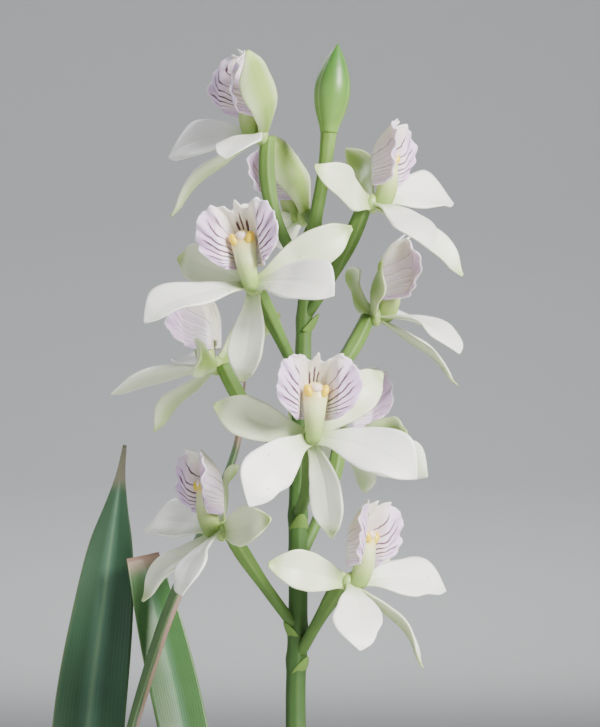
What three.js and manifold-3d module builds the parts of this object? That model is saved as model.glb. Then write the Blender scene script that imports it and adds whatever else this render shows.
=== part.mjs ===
// A potted Prosthechea radiata orchid in flower. Millimetres, +Z up.
// The origin is the centre of the pot's base. The blooms face -Y.
import * as THREE from "three";
import { mergeVertices } from "three/addons/utils/BufferGeometryUtils.js";
import Module from "manifold-3d";

const wasm = await Module();
wasm.setup();

// Driving dimensions
const GAP = 0.3;
const POT = { height: 90, foot: 36, shoulder: 45, top: 51, rim: 15, wall: 4, floor: 5 };
const MIX_TOP = 79;
const BULB = { height: 68, wide: 11, thick: 8.5, stands: 84 };
const LEAF_THICK = 1.1;
const BLADE_THICK = 0.7;
const TEPAL_WIDTH = { dorsal: 5.6, lateral: 6.4, petal: 8 };
const LIP = { height: 14, hood: 4.8, back: -2.15, thick: 0.65 };
const LIP_SIDES = { from: 1.9, turn: 1.6, extra: 1, fullest: 7.5, flare: 0.25 };
const COLUMN = { foot: -1.2, height: 8.8, girth: 1.9, depth: -0.1 };
const CORE = { radius: 2.1, thick: 2, depth: -2.6 };
const OVARY = { top: 1.35, base: 0.95, inset: 3.9 };
const BUD = { length: 13.6, radius: 3 };
const SPATHE = { radius: 2.3, thick: 0.6, height: 28, faces: -65 };

// Colours
const WAX = "#e9ecd9";
const LILAC = "#dccfdc";
const COLUMN_GREEN = "#c9d49a";
const STEM_GREEN = "#5f8f3e";
const BUD_GREEN = "#8fae5c";
const LEAF_GREEN = "#35603c";
const BULB_GREEN = "#6d8a42";
const RHIZOME_BROWN = "#8b8460";
const SHEATH_TAN = "#b8a87a";
const TERRACOTTA = "#b5653f";
const BARK = "#5d4330";

const vec = (x, y, z) => new THREE.Vector3(x, y, z);
const radians = THREE.MathUtils.degToRad;
const mix = THREE.MathUtils.lerp;

// A value between the points of a profile, [place, value] by [place, value].
function along(profile, t) {
  const next = profile.findIndex(([place]) => place >= t);
  if (next <= 0) return profile[next === 0 ? 0 : profile.length - 1][1];
  const [t0, v0] = profile[next - 1];
  const [t1, v1] = profile[next];
  return mix(v0, v1, (t - t0) / (t1 - t0));
}

// A closed surface through rings of points. Each ring has the same even count, and point i
// lies across from point count-1-i, so both ends close in strips and two faces split alike.
function skin(rings) {
  const count = rings[0].length;
  const half = count / 2;
  const last = (rings.length - 1) * count;
  const faces = [];
  for (let j = 0; j < rings.length - 1; j++) {
    for (let i = 0; i < count; i++) {
      const a = j * count + i;
      const b = j * count + ((i + 1) % count);
      if (i < half) faces.push(a, b, b + count, a, b + count, a + count);
      else faces.push(a, b, a + count, b, b + count, a + count);
    }
  }
  for (let i = 0; i < half - 1; i++) {
    const [m, n] = [count - 1 - i, count - 2 - i];
    faces.push(i, m, n, i, n, i + 1);
    faces.push(last + i, last + n, last + m, last + i, last + i + 1, last + n);
  }
  const geometry = new THREE.BufferGeometry().setFromPoints(rings.flat());
  geometry.setIndex(faces);
  return geometry;
}

// A tapered round stem through points. Radii is a profile along it.
function stem(points, radii, sides, steps, grow = 0) {
  const curve = new THREE.CatmullRomCurve3(points, false, "centripetal");
  const frames = curve.computeFrenetFrames(steps, false);
  const rings = [];
  for (let j = 0; j <= steps; j++) {
    const centre = curve.getPointAt(j / steps);
    const radius = along(radii, j / steps) + grow;
    const ring = [];
    for (let i = 0; i < sides; i++) {
      const turn = (2 * Math.PI * (i + 0.5)) / sides;
      ring.push(
        centre
          .clone()
          .addScaledVector(frames.normals[j], radius * Math.cos(turn))
          .addScaledVector(frames.binormals[j], radius * Math.sin(turn)),
      );
    }
    rings.push(ring);
  }
  return skin(rings);
}

// A thin leaf or tepal along a curve. The front looks along face, the edges rise by cup
// times the half-width, and halfWidth is a profile along the length.
function blade({ curve, face, halfWidth, cup, thick, columns, steps, twist = 0 }) {
  const rings = [];
  for (let j = 0; j <= steps; j++) {
    const t = j / steps;
    const centre = curve.getPoint(t);
    const tangent = curve.getTangent(t).normalize();
    const normal = face.clone().addScaledVector(tangent, -face.dot(tangent)).normalize();
    normal.applyAxisAngle(tangent, radians(twist));
    const side = tangent.clone().cross(normal);
    const reach = along(halfWidth, t);
    const front = [];
    const back = [];
    for (let i = 0; i <= columns; i++) {
      const s = (2 * i) / columns - 1;
      const rise = cup * reach * s * s;
      const point = centre.clone().addScaledVector(side, reach * s);
      front.push(point.clone().addScaledVector(normal, rise + thick / 2));
      back.unshift(point.clone().addScaledVector(normal, rise - thick / 2));
    }
    rings.push([...front, ...back]);
  }
  return skin(rings);
}

// Solids for joining and cutting, and back to a geometry
function solidOf(geometry) {
  const bare = new THREE.BufferGeometry();
  bare.setAttribute("position", geometry.getAttribute("position"));
  bare.setIndex(geometry.index);
  const merged = mergeVertices(bare, 1e-4);
  const corners = merged.index.array;
  const triVerts = [];
  for (let i = 0; i < corners.length; i += 3) {
    const [a, b, c] = corners.slice(i, i + 3);
    if (a !== b && b !== c && c !== a) triVerts.push(a, b, c);
  }
  return new wasm.Manifold(
    new wasm.Mesh({
      numProp: 3,
      vertProperties: merged.attributes.position.array,
      triVerts: new Uint32Array(triVerts),
    }),
  );
}

function joined(geometries) {
  return geometries.map(solidOf).reduce((whole, piece) => whole.add(piece));
}

function geometryOf(solid) {
  const mesh = solid.getMesh();
  const geometry = new THREE.BufferGeometry();
  const points = new Float32Array(mesh.vertProperties);
  geometry.setAttribute("position", new THREE.BufferAttribute(points, 3));
  geometry.setIndex(new THREE.BufferAttribute(new Uint32Array(mesh.triVerts), 1));
  geometry.computeVertexNormals();
  return geometry;
}

const plant = new THREE.Group();

function add(name, geometry, color, roughness) {
  const material = new THREE.MeshStandardMaterial({ color, roughness, metalness: 0 });
  const mesh = new THREE.Mesh(geometry, material);
  mesh.name = name;
  plant.add(mesh);
}

// Blooms
// Each bloom has its centre, the way it faces (turn to the right of -Y, tilt up), how far its
// lip leans to the right and how far the lip's sides come forward, and the tips of its five
// tepals from the centre. The numbers after a tip are how far the tepal bows forward, how far
// it sweeps to its side, and its twist. The stem gives the height on the flower spike where it
// starts, and the point it bends by.
const BLOOMS = [
  {
    centre: [-8.9, -2, 363.7],
    turn: -72,
    tilt: 5,
    lean: 0,
    cup: 5.4,
    dorsal: [-12.1, 1, -14, 1.4, 0.3, 35],
    lateralLeft: [0.6, 13, 12.5, -1.5, 0, 30],
    lateralRight: [0.6, -11, 12.6, -2.4, 0, -58],
    petalLeft: [-13.4, 11, -3.1, 1, 0.8, 20],
    petalRight: [-3, -14, -5.2, 1, 0, -66],
    stem: [340.4, [-7.1, -1, 350.9]],
  },
  {
    centre: [-8.1, -20, 338.1],
    turn: -15,
    tilt: 0,
    lean: -8,
    cup: 3.4,
    dorsal: [-1.1, 5, -15.3, 1, -0.5, 0],
    lateralLeft: [-11.5, 12, 4.6, 1, 0.6, 0],
    lateralRight: [16.2, 4, 9.4, 1, -0.5, 25],
    petalLeft: [-16.6, -3, -6.1, 1, 1, 48],
    petalRight: [13.4, -9, -1.9, 1, -0.9, -35],
    stem: [322, [-4, -8, 331]],
  },
  {
    centre: [2.2, -22, 313.8],
    turn: 10,
    tilt: 0,
    lean: 2,
    cup: 3.4,
    dorsal: [3, 4, -15.8, 1, -1.3, 0],
    lateralLeft: [-15.8, 6, 5.1, 1, -0.3, 0],
    lateralRight: [10.9, 10, 10.1, 1, -0.4, 0],
    petalLeft: [-10.1, -8, -10.5, 1, 1.5, 0],
    petalRight: [16.2, -3, -6.3, 1, -1.3, -15],
    stem: [300.2, [2.2, -12, 307]],
  },
  {
    centre: [10.3, -14, 290.1],
    turn: 58,
    tilt: 0,
    lean: 6,
    cup: 3,
    dorsal: [8.9, -2, -13.6, 1.8, -1.5, -38],
    lateralLeft: [-15.5, -5, 3.4, 1, 0, 0],
    lateralRight: [3, 15, 7, 0.7, 0, 0],
    petalLeft: [-0.9, -12, -9.6, 1, 0, 50],
    petalRight: [13.7, 8, -1.9, 1, -0.9, -38],
    stem: [276.2, [5.2, -6, 287.5]],
  },
  {
    centre: [-15.2, -10, 298.2],
    turn: -68,
    tilt: 0,
    lean: -4,
    cup: 3,
    dorsal: [-10.1, 1, -11.7, 1, 0.6, 0],
    lateralLeft: [5.4, 12, 10, 1, 0, 0],
    lateralRight: [11, -12, 2.7, 1, 0.3, 0],
    petalLeft: [-10.7, 12, -0.3, 1, 0.6, 48],
    petalRight: [-3.5, -12, -9.4, 1, 0, -30],
    stem: [281.5, [-8.3, -6, 292]],
  },
  {
    centre: [14.5, -6, 352],
    turn: 74,
    tilt: 0,
    lean: 2,
    cup: 3,
    dorsal: [11.8, 0, -12.2, 1.5, 0, 20],
    lateralLeft: [-12.5, -11, 5.2, 1, -1.4, 0],
    lateralRight: [-7.2, 13, 9.9, 1, 0.5, 35],
    petalLeft: [6.2, -12, -7.9, 1, -0.6, 64],
    petalRight: [11.4, 12, 0.6, 1, -1.1, -42],
    stem: [332.9, [7.4, -3, 342.4]],
  },
  {
    centre: [15.4, 6, 333.5],
    turn: 92,
    tilt: 0,
    lean: 0,
    cup: 4.6,
    dorsal: [10.8, 2, -11.9, 1, 0, 0],
    lateralLeft: [-2.5, -13, 8.6, -0.5, 0.6, 0],
    lateralRight: [-7.9, 13, 8, -1, 0, 0],
    petalLeft: [11, -9, -6.3, 1.9, -1.4, 65],
    petalRight: [6.9, 14, -2, 1, 0, -68],
    stem: [317.9, [7.5, 3, 324.2]],
  },
  {
    centre: [-16.4, 8, 325.2],
    turn: -120,
    tilt: 0,
    lean: 0,
    cup: 3.4,
    dorsal: [-8.4, 7, -11.7, 1, 0.4, 15],
    lateralLeft: [13.3, 8, 8.7, 1, 0, 0],
    lateralRight: [0.7, -15, 1.9, 1, 0, 0],
    petalLeft: [-4, 14, 0.8, 1, 0, 70],
    petalRight: [-15.3, -6, -4.8, 0.2, -0.3, -52],
    stem: [307.8, [-9.6, 4, 317.4]],
  },
  {
    centre: [8.6, 14, 311.8],
    turn: 150,
    tilt: 0,
    lean: 0,
    cup: 3.4,
    dorsal: [2.4, 12, -9.3, 1, 0, 0],
    lateralLeft: [8.9, -11, 2.2, 1, 0, 0],
    lateralRight: [-11, 5, 6, -0.5, 0, 0],
    petalLeft: [13.7, 8, -6, 1, 0, 0],
    petalRight: [-8, 12, -2.3, 1, 0, 0],
    stem: [292.9, [6.2, 8, 305]],
  },
  {
    centre: [-1.9, 14, 350.7],
    turn: -105,
    tilt: 0,
    lean: 0,
    cup: 5.6,
    dorsal: [-8, 7, -10, 1, 0, 0],
    lateralLeft: [-2, 9.4, 12.2, -2.2, 0, 50],
    lateralRight: [-2.7, -8, 13.5, -1.2, 0, -50],
    petalLeft: [0.5, 13, -4.5, 1, 0, 30],
    petalRight: [-10, -6, -3.9, 1, 0, 0],
    stem: [348.2, [2, 8, 351]],
  },
];

const SEPAL_SHAPE = [
  [0, 0.3],
  [0.16, 0.44],
  [0.36, 0.82],
  [0.55, 1],
  [0.72, 0.9],
  [0.86, 0.58],
  [0.95, 0.27],
  [1, 0.06],
];
const PETAL_SHAPE = [
  [0, 0.24],
  [0.16, 0.34],
  [0.36, 0.74],
  [0.54, 0.97],
  [0.68, 1],
  [0.82, 0.8],
  [0.93, 0.46],
  [1, 0.08],
];

// The lip's outline as seen from the front: degrees from straight up, and reach in mm
// from a point 3 mm above the bloom's centre. The other side mirrors it.
const LIP_ORIGIN = 3;
const LIP_REACH = [
  [0, 10.6],
  [6, 9.2],
  [14, 10.4],
  [24, 10.9],
  [36, 10.4],
  [50, 8.9],
  [64, 7],
  [78, 4.4],
  [94, 2.6],
];
const LIP_ROWS = [0.2, 0.42, 0.68, 1];

const halved = (shape, width) => shape.map(([t, w]) => [t, (w * width) / 2]);

// The bloom's own axes: front, right and up as seen by someone facing it.
function axesOf({ turn, tilt, lean }) {
  const [a, b] = [radians(turn), radians(tilt)];
  const front = vec(Math.sin(a) * Math.cos(b), -Math.cos(a) * Math.cos(b), Math.sin(b));
  const up = vec(0, 0, 1).addScaledVector(front, -front.z).normalize();
  up.applyAxisAngle(front, -radians(lean));
  const right = up.clone().cross(front);
  return { front, right, up };
}

function tepal(centre, axes, [x, y, z, bow, sweep, twist], kind) {
  const petal = kind === "petal";
  const depth = CORE.depth + (petal ? 0.4 : -0.4);
  const base = centre.clone().addScaledVector(axes.front, depth);
  const tip = centre.clone().add(vec(x, y, z));
  const way = tip.clone().sub(base).normalize();
  const face = axes.front.clone().addScaledVector(way, -axes.front.dot(way)).normalize();
  face.applyAxisAngle(way, radians(twist));
  const bend = base.clone().add(tip).multiplyScalar(0.5);
  bend.addScaledVector(face, 2 * bow);
  bend.addScaledVector(way.clone().cross(face), 2 * sweep);
  return blade({
    curve: new THREE.QuadraticBezierCurve3(base, bend, tip),
    face,
    halfWidth: halved(petal ? PETAL_SHAPE : SEPAL_SHAPE, TEPAL_WIDTH[kind]),
    cup: petal ? 0.12 : 0.3,
    thick: BLADE_THICK,
    columns: 2,
    steps: petal ? 6 : 5,
  });
}

// A point given by its places right, up and front of the bloom's centre
function at(centre, { front, right, up }, x, z, depth) {
  const point = centre.clone().addScaledVector(right, x).addScaledVector(up, z);
  return point.addScaledVector(front, depth);
}

// The five tepals and the small receptacle that they grow from
function tepals(bloom, centre, axes) {
  const receptacle = new THREE.CylinderGeometry(CORE.radius, CORE.radius, CORE.thick, 8);
  const swing = new THREE.Quaternion().setFromUnitVectors(vec(0, 1, 0), axes.front);
  receptacle.applyQuaternion(swing);
  const seat = at(centre, axes, 0, 0, CORE.depth);
  receptacle.translate(seat.x, seat.y, seat.z);
  return joined([
    receptacle,
    tepal(centre, axes, bloom.dorsal, "dorsal"),
    tepal(centre, axes, bloom.lateralLeft, "lateral"),
    tepal(centre, axes, bloom.lateralRight, "lateral"),
    tepal(centre, axes, bloom.petalLeft, "petal"),
    tepal(centre, axes, bloom.petalRight, "petal"),
  ]);
}

// How far forward the lip stands. Beside the column it turns sharply forward, so that its sides
// wrap the column and flare beyond it, fullest halfway up. Its top arches over the column.
function lipDepth(x, z, cup) {
  const { from, turn, extra, fullest, flare } = LIP_SIDES;
  const hood = LIP.hood * Math.max(0, (2 * z) / LIP.height - 1) ** 2;
  const beyond = Math.abs(x) - from;
  const turned = THREE.MathUtils.smoothstep(beyond, 0, turn);
  const fall = (z > fullest ? 0.75 : 0.3) * ((z - fullest) / 5) ** 2;
  const side = (cup + extra) * Math.max(0.15, 1 - fall) * turned;
  return LIP.back + hood + side + flare * Math.max(0, beyond - turn);
}

function lip({ cup }, centre, axes) {
  const mirrored = LIP_REACH.slice(1).map(([angle, reach]) => [-angle, reach]);
  const fan = [...mirrored.reverse(), ...LIP_REACH];
  const rings = LIP_ROWS.map((row) => {
    const front = [];
    const back = [];
    for (const [angle, reach] of fan) {
      const x = row * reach * Math.sin(radians(angle));
      const z = LIP_ORIGIN + row * reach * Math.cos(radians(angle));
      const depth = lipDepth(x, z, cup);
      front.push(at(centre, axes, x, z, depth + LIP.thick / 2));
      back.unshift(at(centre, axes, x, z, depth - LIP.thick / 2));
    }
    return [...front, ...back];
  });
  return skin(rings);
}

const COLUMN_GIRTH = [
  [0, 0.62],
  [0.3, 0.74],
  [0.6, 0.98],
  [0.85, 1],
  [1, 0.66],
];

// The column is a club, deep at its foot and flatter above, with a tooth on each side of its tip.
function column(centre, axes, grow = 0) {
  const { foot, height, girth, depth } = COLUMN;
  const rings = COLUMN_GIRTH.map(([t, share]) => {
    const wide = share * girth + grow;
    const deep = share * girth * (1.2 - 0.6 * t) + grow;
    const z = mix(foot - grow, height + grow, t);
    return Array.from({ length: 6 }, (_, i) => {
      const turn = (2 * Math.PI * (i + 0.5)) / 6;
      return at(centre, axes, wide * Math.cos(turn), z, depth - deep * Math.sin(turn));
    });
  });
  const teeth = [-1, 1].map((side) => {
    const root = at(centre, axes, side * 1.1, height - 1.8, 0.3);
    const end = at(centre, axes, side * 1.9, height - 0.1, 1.1);
    const taper = [
      [0, 0.8],
      [1, 0.25],
    ];
    return stem([root, root.clone().lerp(end, 0.5), end], taper, 4, 1, grow);
  });
  return joined([skin(rings), ...teeth]);
}

// Flower spike: points of its centreline
const SPIKE = [
  [8, -8, 152.3],
  [7, -7.5, 175],
  [3.5, -4.5, 215],
  [0, -1, 250],
  [-0.7, 0, 268],
  [-0.3, 0, 285],
  [-0.3, 0, 302],
  [0.4, 0, 323],
  [1, 0, 338],
  [2.5, 0, 349],
  [4.1, 0, 358],
  [4.9, 0, 365],
].map((place) => vec(...place));

const spikeCurve = new THREE.CatmullRomCurve3(SPIKE, false, "centripetal");

// The point of the spike's centreline at a height
function spikeAt(height) {
  let [low, high] = [0, 1];
  for (let i = 0; i < 24; i++) {
    const middle = (low + high) / 2;
    if (spikeCurve.getPoint(middle).z < height) low = middle;
    else high = middle;
  }
  return spikeCurve.getPoint(low);
}

function pedicel(bloom, centre, axes, grow = 0) {
  const [height, by] = bloom.stem;
  const root = spikeAt(height);
  const end = at(centre, axes, 0, 0, -OVARY.inset + grow);
  const bend = new THREE.QuadraticBezierCurve3(root, vec(...by), end);
  const radii = [
    [0, OVARY.base],
    [0.35, 1],
    [0.75, OVARY.top],
    [1, 1.2],
  ];
  return stem(bend.getPoints(4), radii, 6, 4, grow);
}

// A small pointed bract hugging the spike under a pedicel
function bract(bloom) {
  const root = spikeAt(bloom.stem[0] - 2.2);
  const way = vec(...bloom.stem[1]).sub(root).setZ(0).normalize();
  const tip = root.clone().addScaledVector(way, 2.7).add(vec(0, 0, 3.2));
  root.addScaledVector(way, 0.9);
  return blade({
    curve: new THREE.LineCurve3(root, tip),
    face: way.clone().negate(),
    halfWidth: [
      [0, 1.5],
      [1, 0.3],
    ],
    cup: 0.35,
    thick: 0.6,
    columns: 2,
    steps: 1,
  });
}

const SPIKE_RADII = [
  [0, 2],
  [0.3, 1.9],
  [0.55, 1.65],
  [0.8, 1.4],
  [0.93, 1.1],
  [1, 1.25],
];
const spikePieces = [stem(SPIKE, SPIKE_RADII, 8, 14)];

BLOOMS.forEach((bloom, i) => {
  const name = "bloom_" + String(i + 1).padStart(2, "0");
  const centre = vec(...bloom.centre);
  const axes = axesOf(bloom);
  spikePieces.push(pedicel(bloom, centre, axes), bract(bloom));
  const flower = tepals(bloom, centre, axes)
    .subtract(column(centre, axes, GAP))
    .subtract(solidOf(pedicel(bloom, centre, axes, GAP)));
  add(name + "_tepals", geometryOf(flower), WAX, 0.45);
  add(name + "_lip", lip(bloom, centre, axes), LILAC, 0.5);
  add(name + "_column", geometryOf(column(centre, axes)), COLUMN_GREEN, 0.4);
});
add("flower_spike", geometryOf(joined(spikePieces)), STEM_GREEN, 0.5);

// The bud at the spike's tip is a pointed egg, still closed.
const BUD_SHAPE = [
  [0, 0.36],
  [0.12, 0.74],
  [0.3, 0.97],
  [0.45, 1],
  [0.65, 0.82],
  [0.85, 0.43],
  [1, 0.06],
];
const budFoot = vec(4.95, 0, 365 + GAP);
const budTip = vec(6.3, 0, 365 + GAP + BUD.length);
const budGirth = BUD_SHAPE.map(([t, share]) => [t, share * BUD.radius]);
const budLine = [budFoot, budFoot.clone().lerp(budTip, 0.5), budTip];
add("bud", stem(budLine, budGirth, 12, 8), BUD_GREEN, 0.4);

// Spathe: the dry sheath that stands round the foot of the spike, open on one side
function spathe() {
  const WRAP = [
    [0, 64],
    [0.6, 52],
    [1, 8],
  ];
  const rings = [];
  for (let j = 0; j <= 5; j++) {
    const centre = spikeAt(SPIKE[0].z + SPATHE.height * (j / 5));
    const reach = along(WRAP, j / 5);
    const outer = [];
    const inner = [];
    for (let i = 0; i <= 6; i++) {
      const turn = radians(reach * (i / 3 - 1) + SPATHE.faces);
      const way = vec(Math.cos(turn), Math.sin(turn), 0);
      outer.push(centre.clone().addScaledVector(way, SPATHE.radius + SPATHE.thick));
      inner.unshift(centre.clone().addScaledVector(way, SPATHE.radius));
    }
    rings.push([...outer, ...inner]);
  }
  return skin(rings);
}
add("spathe", spathe(), SHEATH_TAN, 0.8);

// Pseudobulbs: flattened, pointed storage stems in a row along the creeping rhizome. Each has
// its place and the way that its wide side runs, in degrees from +X.
const BULBS = [
  { at: [8, -8], wide: 25 },
  { at: [-8, 6], wide: 100 },
  { at: [-23, 20], wide: 40 },
  { at: [14, 14], wide: 35 },
];
const BULB_SHAPE = [
  [0, 0.36],
  [0.08, 0.66],
  [0.22, 0.94],
  [0.38, 1],
  [0.6, 0.86],
  [0.8, 0.62],
  [1, 0.46],
];

function pseudobulb({ at: [x, y], wide }) {
  const rings = [];
  for (let j = 0; j <= 7; j++) {
    const share = along(BULB_SHAPE, j / 7);
    const ring = [];
    for (let i = 0; i < 10; i++) {
      const turn = (2 * Math.PI * (i + 0.5)) / 10;
      const point = vec(BULB.wide * Math.cos(turn), BULB.thick * Math.sin(turn), 0);
      point.multiplyScalar(share).applyAxisAngle(vec(0, 0, 1), radians(wide));
      ring.push(point.add(vec(x, y, BULB.stands + (BULB.height * j) / 7)));
    }
    rings.push(ring);
  }
  return skin(rings);
}
BULBS.forEach((bulb, i) => add("pseudobulb_" + (i + 1), pseudobulb(bulb), BULB_GREEN, 0.5));

// Leaves: two straps at the top of each pseudobulb. Those behind the flower spike stand up,
// one of them cut short and one folded edge-on with a dry tip, and the rest arch outwards.
const LEAF_FOOT = BULB.stands + BULB.height + GAP + 0.4;
const LEAF_SHAPE = [
  [0, 0.24],
  [0.12, 0.42],
  [0.3, 0.86],
  [0.5, 1],
  [0.68, 0.94],
  [0.84, 0.66],
  [0.94, 0.34],
  [1, 0.05],
];
const TAPERED_SHAPE = [
  [0, 0.24],
  [0.12, 0.42],
  [0.3, 0.86],
  [0.5, 0.97],
  [0.63, 0.93],
  [0.75, 0.75],
  [0.83, 0.56],
  [0.9, 0.28],
  [0.95, 0.12],
  [1, 0.05],
];
const DRY_TIP_SHAPE = [
  [0, 0.24],
  [0.2, 0.7],
  [0.5, 1],
  [0.7, 0.9],
  [0.8, 0.5],
  [0.86, 0.22],
  [1, 0.08],
];
const CUT_LEAF_SHAPE = [
  [0, 0.3],
  [0.2, 0.7],
  [0.5, 1],
  [0.9, 1],
  [1, 0.75],
];
const LEAVES = [
  {
    points: [[-26.6, 23, 0], [-34, 31, 205], [-38.8, 37, 250], [-35.4, 40, 285], [-31.8, 40, 310.8]],
    width: 13.5,
    face: [0.2, -1, 0.1],
    shape: TAPERED_SHAPE,
  },
  {
    points: [[-19.4, 17, 0], [-29, 22, 200], [-33.5, 24, 240], [-25.5, 26, 277], [-11.3, 26, 311], [-9.6, 26, 323.5]],
    width: 7.5,
    face: [1, -0.1, -0.3],
    shape: DRY_TIP_SHAPE,
  },
  {
    points: [[-7.2, 1.4, 0], [-12, 22, 205], [-20, 32, 255], [-28.5, 36, 291]],
    width: 8,
    face: [0.3, -1, 0],
    shape: CUT_LEAF_SHAPE,
  },
  { points: [[-8.8, 10.6, 0], [-8, 45, 208], [-14, 80, 226], [-18, 115, 200]], width: 17 },
  { points: [[3.8, -10, 0], [-20, -32, 205], [-45, -55, 226], [-78, -80, 205]], width: 18 },
  { points: [[12.2, -6, 0], [35, -20, 205], [62, -33, 225], [98, -48, 203]], width: 18 },
  { points: [[17.8, 16.6, 0], [40, 28, 205], [66, 42, 226], [100, 58, 204]], width: 17 },
  { points: [[10.2, 11.4, 0], [30, 50, 205], [42, 80, 222], [52, 112, 195]], width: 16 },
];

function leaf({ points, width, face, shape = LEAF_SHAPE }) {
  const places = points.map(([x, y, z], i) => vec(x, y, i ? z : LEAF_FOOT));
  const outwards = places.at(-1).clone().sub(places[0]).setZ(0).normalize();
  return blade({
    curve: new THREE.CatmullRomCurve3(places, false, "centripetal"),
    face: face ? vec(...face) : vec(0, 0, 1).addScaledVector(outwards, -0.5),
    halfWidth: halved(shape, width),
    cup: 0.3,
    thick: LEAF_THICK,
    columns: 2,
    steps: 8,
  });
}
LEAVES.forEach((item, i) => add("leaf_" + (i + 1), leaf(item), LEAF_GREEN, 0.45));

// Rhizome: the creeping stem that joins the pseudobulbs, half sunk in the mix, with a collar
// under each of them and a few thick roots that run over the mix and down into it
const RHIZOME_HEIGHT = 80.6;
const RUNS = [
  [[-28, 25], [-23, 20], [-8, 6], [8, -8], [14, -14]],
  [[-3, 2], [5, 10], [14, 14], [19, 16]],
];
const ROOTS = [
  [[8, -8, 80], [17, -19, 81], [25, -25, 79], [28, -28, 70]],
  [[8, -8, 80], [1, -19, 81], [-4, -28, 79], [-6, -31, 70]],
  [[-8, 6, 80], [-17, 0, 81], [-26, -5, 79], [-29, -7, 70]],
  [[14, 14, 80], [24, 9, 81], [31, 3, 79], [33, 1, 70]],
  [[-23, 20, 80], [-16, 29, 81], [-12, 34, 78], [-11, 36, 70]],
];

function rhizome(grow = 0) {
  const even = (radius) => [
    [0, radius],
    [1, radius],
  ];
  const runs = RUNS.map((run) =>
    stem(run.map(([x, y]) => vec(x, y, RHIZOME_HEIGHT)), even(2.9), 8, 6, grow),
  );
  const roots = ROOTS.map((root) => stem(root.map((p) => vec(...p)), even(1.1), 6, 5, grow));
  const collars = BULBS.map(({ at: [x, y] }) => {
    const top = BULB.stands - GAP;
    const collar = new THREE.CylinderGeometry(3.9 + grow, 3.4 + grow, 5, 8);
    return collar.rotateX(Math.PI / 2).translate(x, y, top - 2.5);
  });
  return joined([...runs, ...roots, ...collars]);
}
add("rhizome", geometryOf(rhizome()), RHIZOME_BROWN, 0.8);

// Pot: plain unglazed clay, with a thick rim and drainage holes round the middle of its floor
const POT_OUTSIDE = [
  [0, 0],
  [POT.foot, 0],
  [POT.shoulder, POT.height - POT.rim],
  [POT.top - 2, POT.height - POT.rim],
  [POT.top - 0.8, POT.height],
];
const POT_INSIDE = [
  [POT.top - POT.wall - 2, POT.height],
  [POT.shoulder - POT.wall, POT.height - POT.rim - 4],
  [POT.foot - POT.wall, POT.floor],
];
const DRAINS = { count: 4, from: 19, radius: 4 };

function lathe(profile, segments) {
  const points = profile.map(([x, y]) => new THREE.Vector2(x, y));
  return new THREE.LatheGeometry(points, segments).rotateX(Math.PI / 2);
}

function pot() {
  const drains = [];
  for (let i = 0; i < DRAINS.count; i++) {
    const turn = (2 * Math.PI * (i + 0.5)) / DRAINS.count;
    const drain = new THREE.CylinderGeometry(DRAINS.radius, DRAINS.radius, 3 * POT.floor, 8);
    drain.rotateX(Math.PI / 2);
    drains.push(drain.translate(DRAINS.from * Math.cos(turn), DRAINS.from * Math.sin(turn), 0));
  }
  const clay = solidOf(lathe([...POT_OUTSIDE, ...POT_INSIDE, [0, POT.floor]], 24));
  return drains.reduce((whole, drain) => whole.subtract(solidOf(drain)), clay);
}
add("pot", geometryOf(pot()), TERRACOTTA, 0.85);

// Potting mix: coarse bark. The bed fills the pot, and chips lie on it at every angle.
const CHIPS = 21;
let draw = 7;
function random() {
  draw = (draw * 16807) % 2147483647;
  return draw / 2147483647;
}

function chip(i) {
  const away = 40 * Math.sqrt((i + 0.5) / CHIPS);
  const turn = i * 2.399963;
  const box = new THREE.BoxGeometry(11 + 5 * random(), 6 + 4 * random(), 2.6 + 1.6 * random());
  box.rotateX(0.7 * (random() - 0.5));
  box.rotateY(0.7 * (random() - 0.5));
  box.rotateZ(Math.PI * random());
  return box.translate(away * Math.cos(turn), away * Math.sin(turn), MIX_TOP + random() - 0.4);
}

function pottingMix() {
  const inside = POT_INSIDE.map(([x, z]) => [x - GAP - 0.1, z === POT.floor ? z + GAP : z]);
  const room = solidOf(lathe([[0, POT.floor + GAP], ...inside.reverse(), [0, POT.height]], 24));
  const bed = new THREE.CylinderGeometry(POT.top, POT.top, MIX_TOP, 8);
  bed.rotateX(Math.PI / 2).translate(0, 0, MIX_TOP / 2);
  const chips = Array.from({ length: CHIPS }, (_, i) => chip(i));
  const whole = joined([bed, ...chips]).intersect(room).subtract(rhizome(GAP));
  return whole.decompose().reduce((most, piece) => (piece.volume() > most.volume() ? piece : most));
}
add("potting_mix", geometryOf(pottingMix()), BARK, 0.95);

export default plant;
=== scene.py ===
import bpy
import numpy as np
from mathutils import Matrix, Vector


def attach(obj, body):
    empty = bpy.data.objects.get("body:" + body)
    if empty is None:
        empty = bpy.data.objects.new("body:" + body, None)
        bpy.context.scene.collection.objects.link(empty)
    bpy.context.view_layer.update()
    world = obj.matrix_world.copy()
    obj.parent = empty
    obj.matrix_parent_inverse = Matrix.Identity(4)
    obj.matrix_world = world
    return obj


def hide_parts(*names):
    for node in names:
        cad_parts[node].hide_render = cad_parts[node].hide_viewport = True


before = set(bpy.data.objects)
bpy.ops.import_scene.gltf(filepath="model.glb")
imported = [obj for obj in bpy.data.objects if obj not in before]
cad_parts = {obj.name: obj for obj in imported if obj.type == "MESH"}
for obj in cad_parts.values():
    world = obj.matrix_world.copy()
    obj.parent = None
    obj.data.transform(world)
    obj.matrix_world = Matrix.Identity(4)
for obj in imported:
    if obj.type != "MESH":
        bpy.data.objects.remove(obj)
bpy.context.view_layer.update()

# Clay pot
# A plain flowerpot of unglazed red clay, turned with a thick rim and fired hard.
# Water leaves by four holes in its floor, and old watering leaves a pale lime bloom on it.
MM = 0.001
POT_OUTSIDE = [(0, 0), (36, 0), (45, 75), (49, 75), (50.2, 90)]
POT_INSIDE = [(45, 90), (41, 71), (32, 5), (0, 5)]
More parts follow.
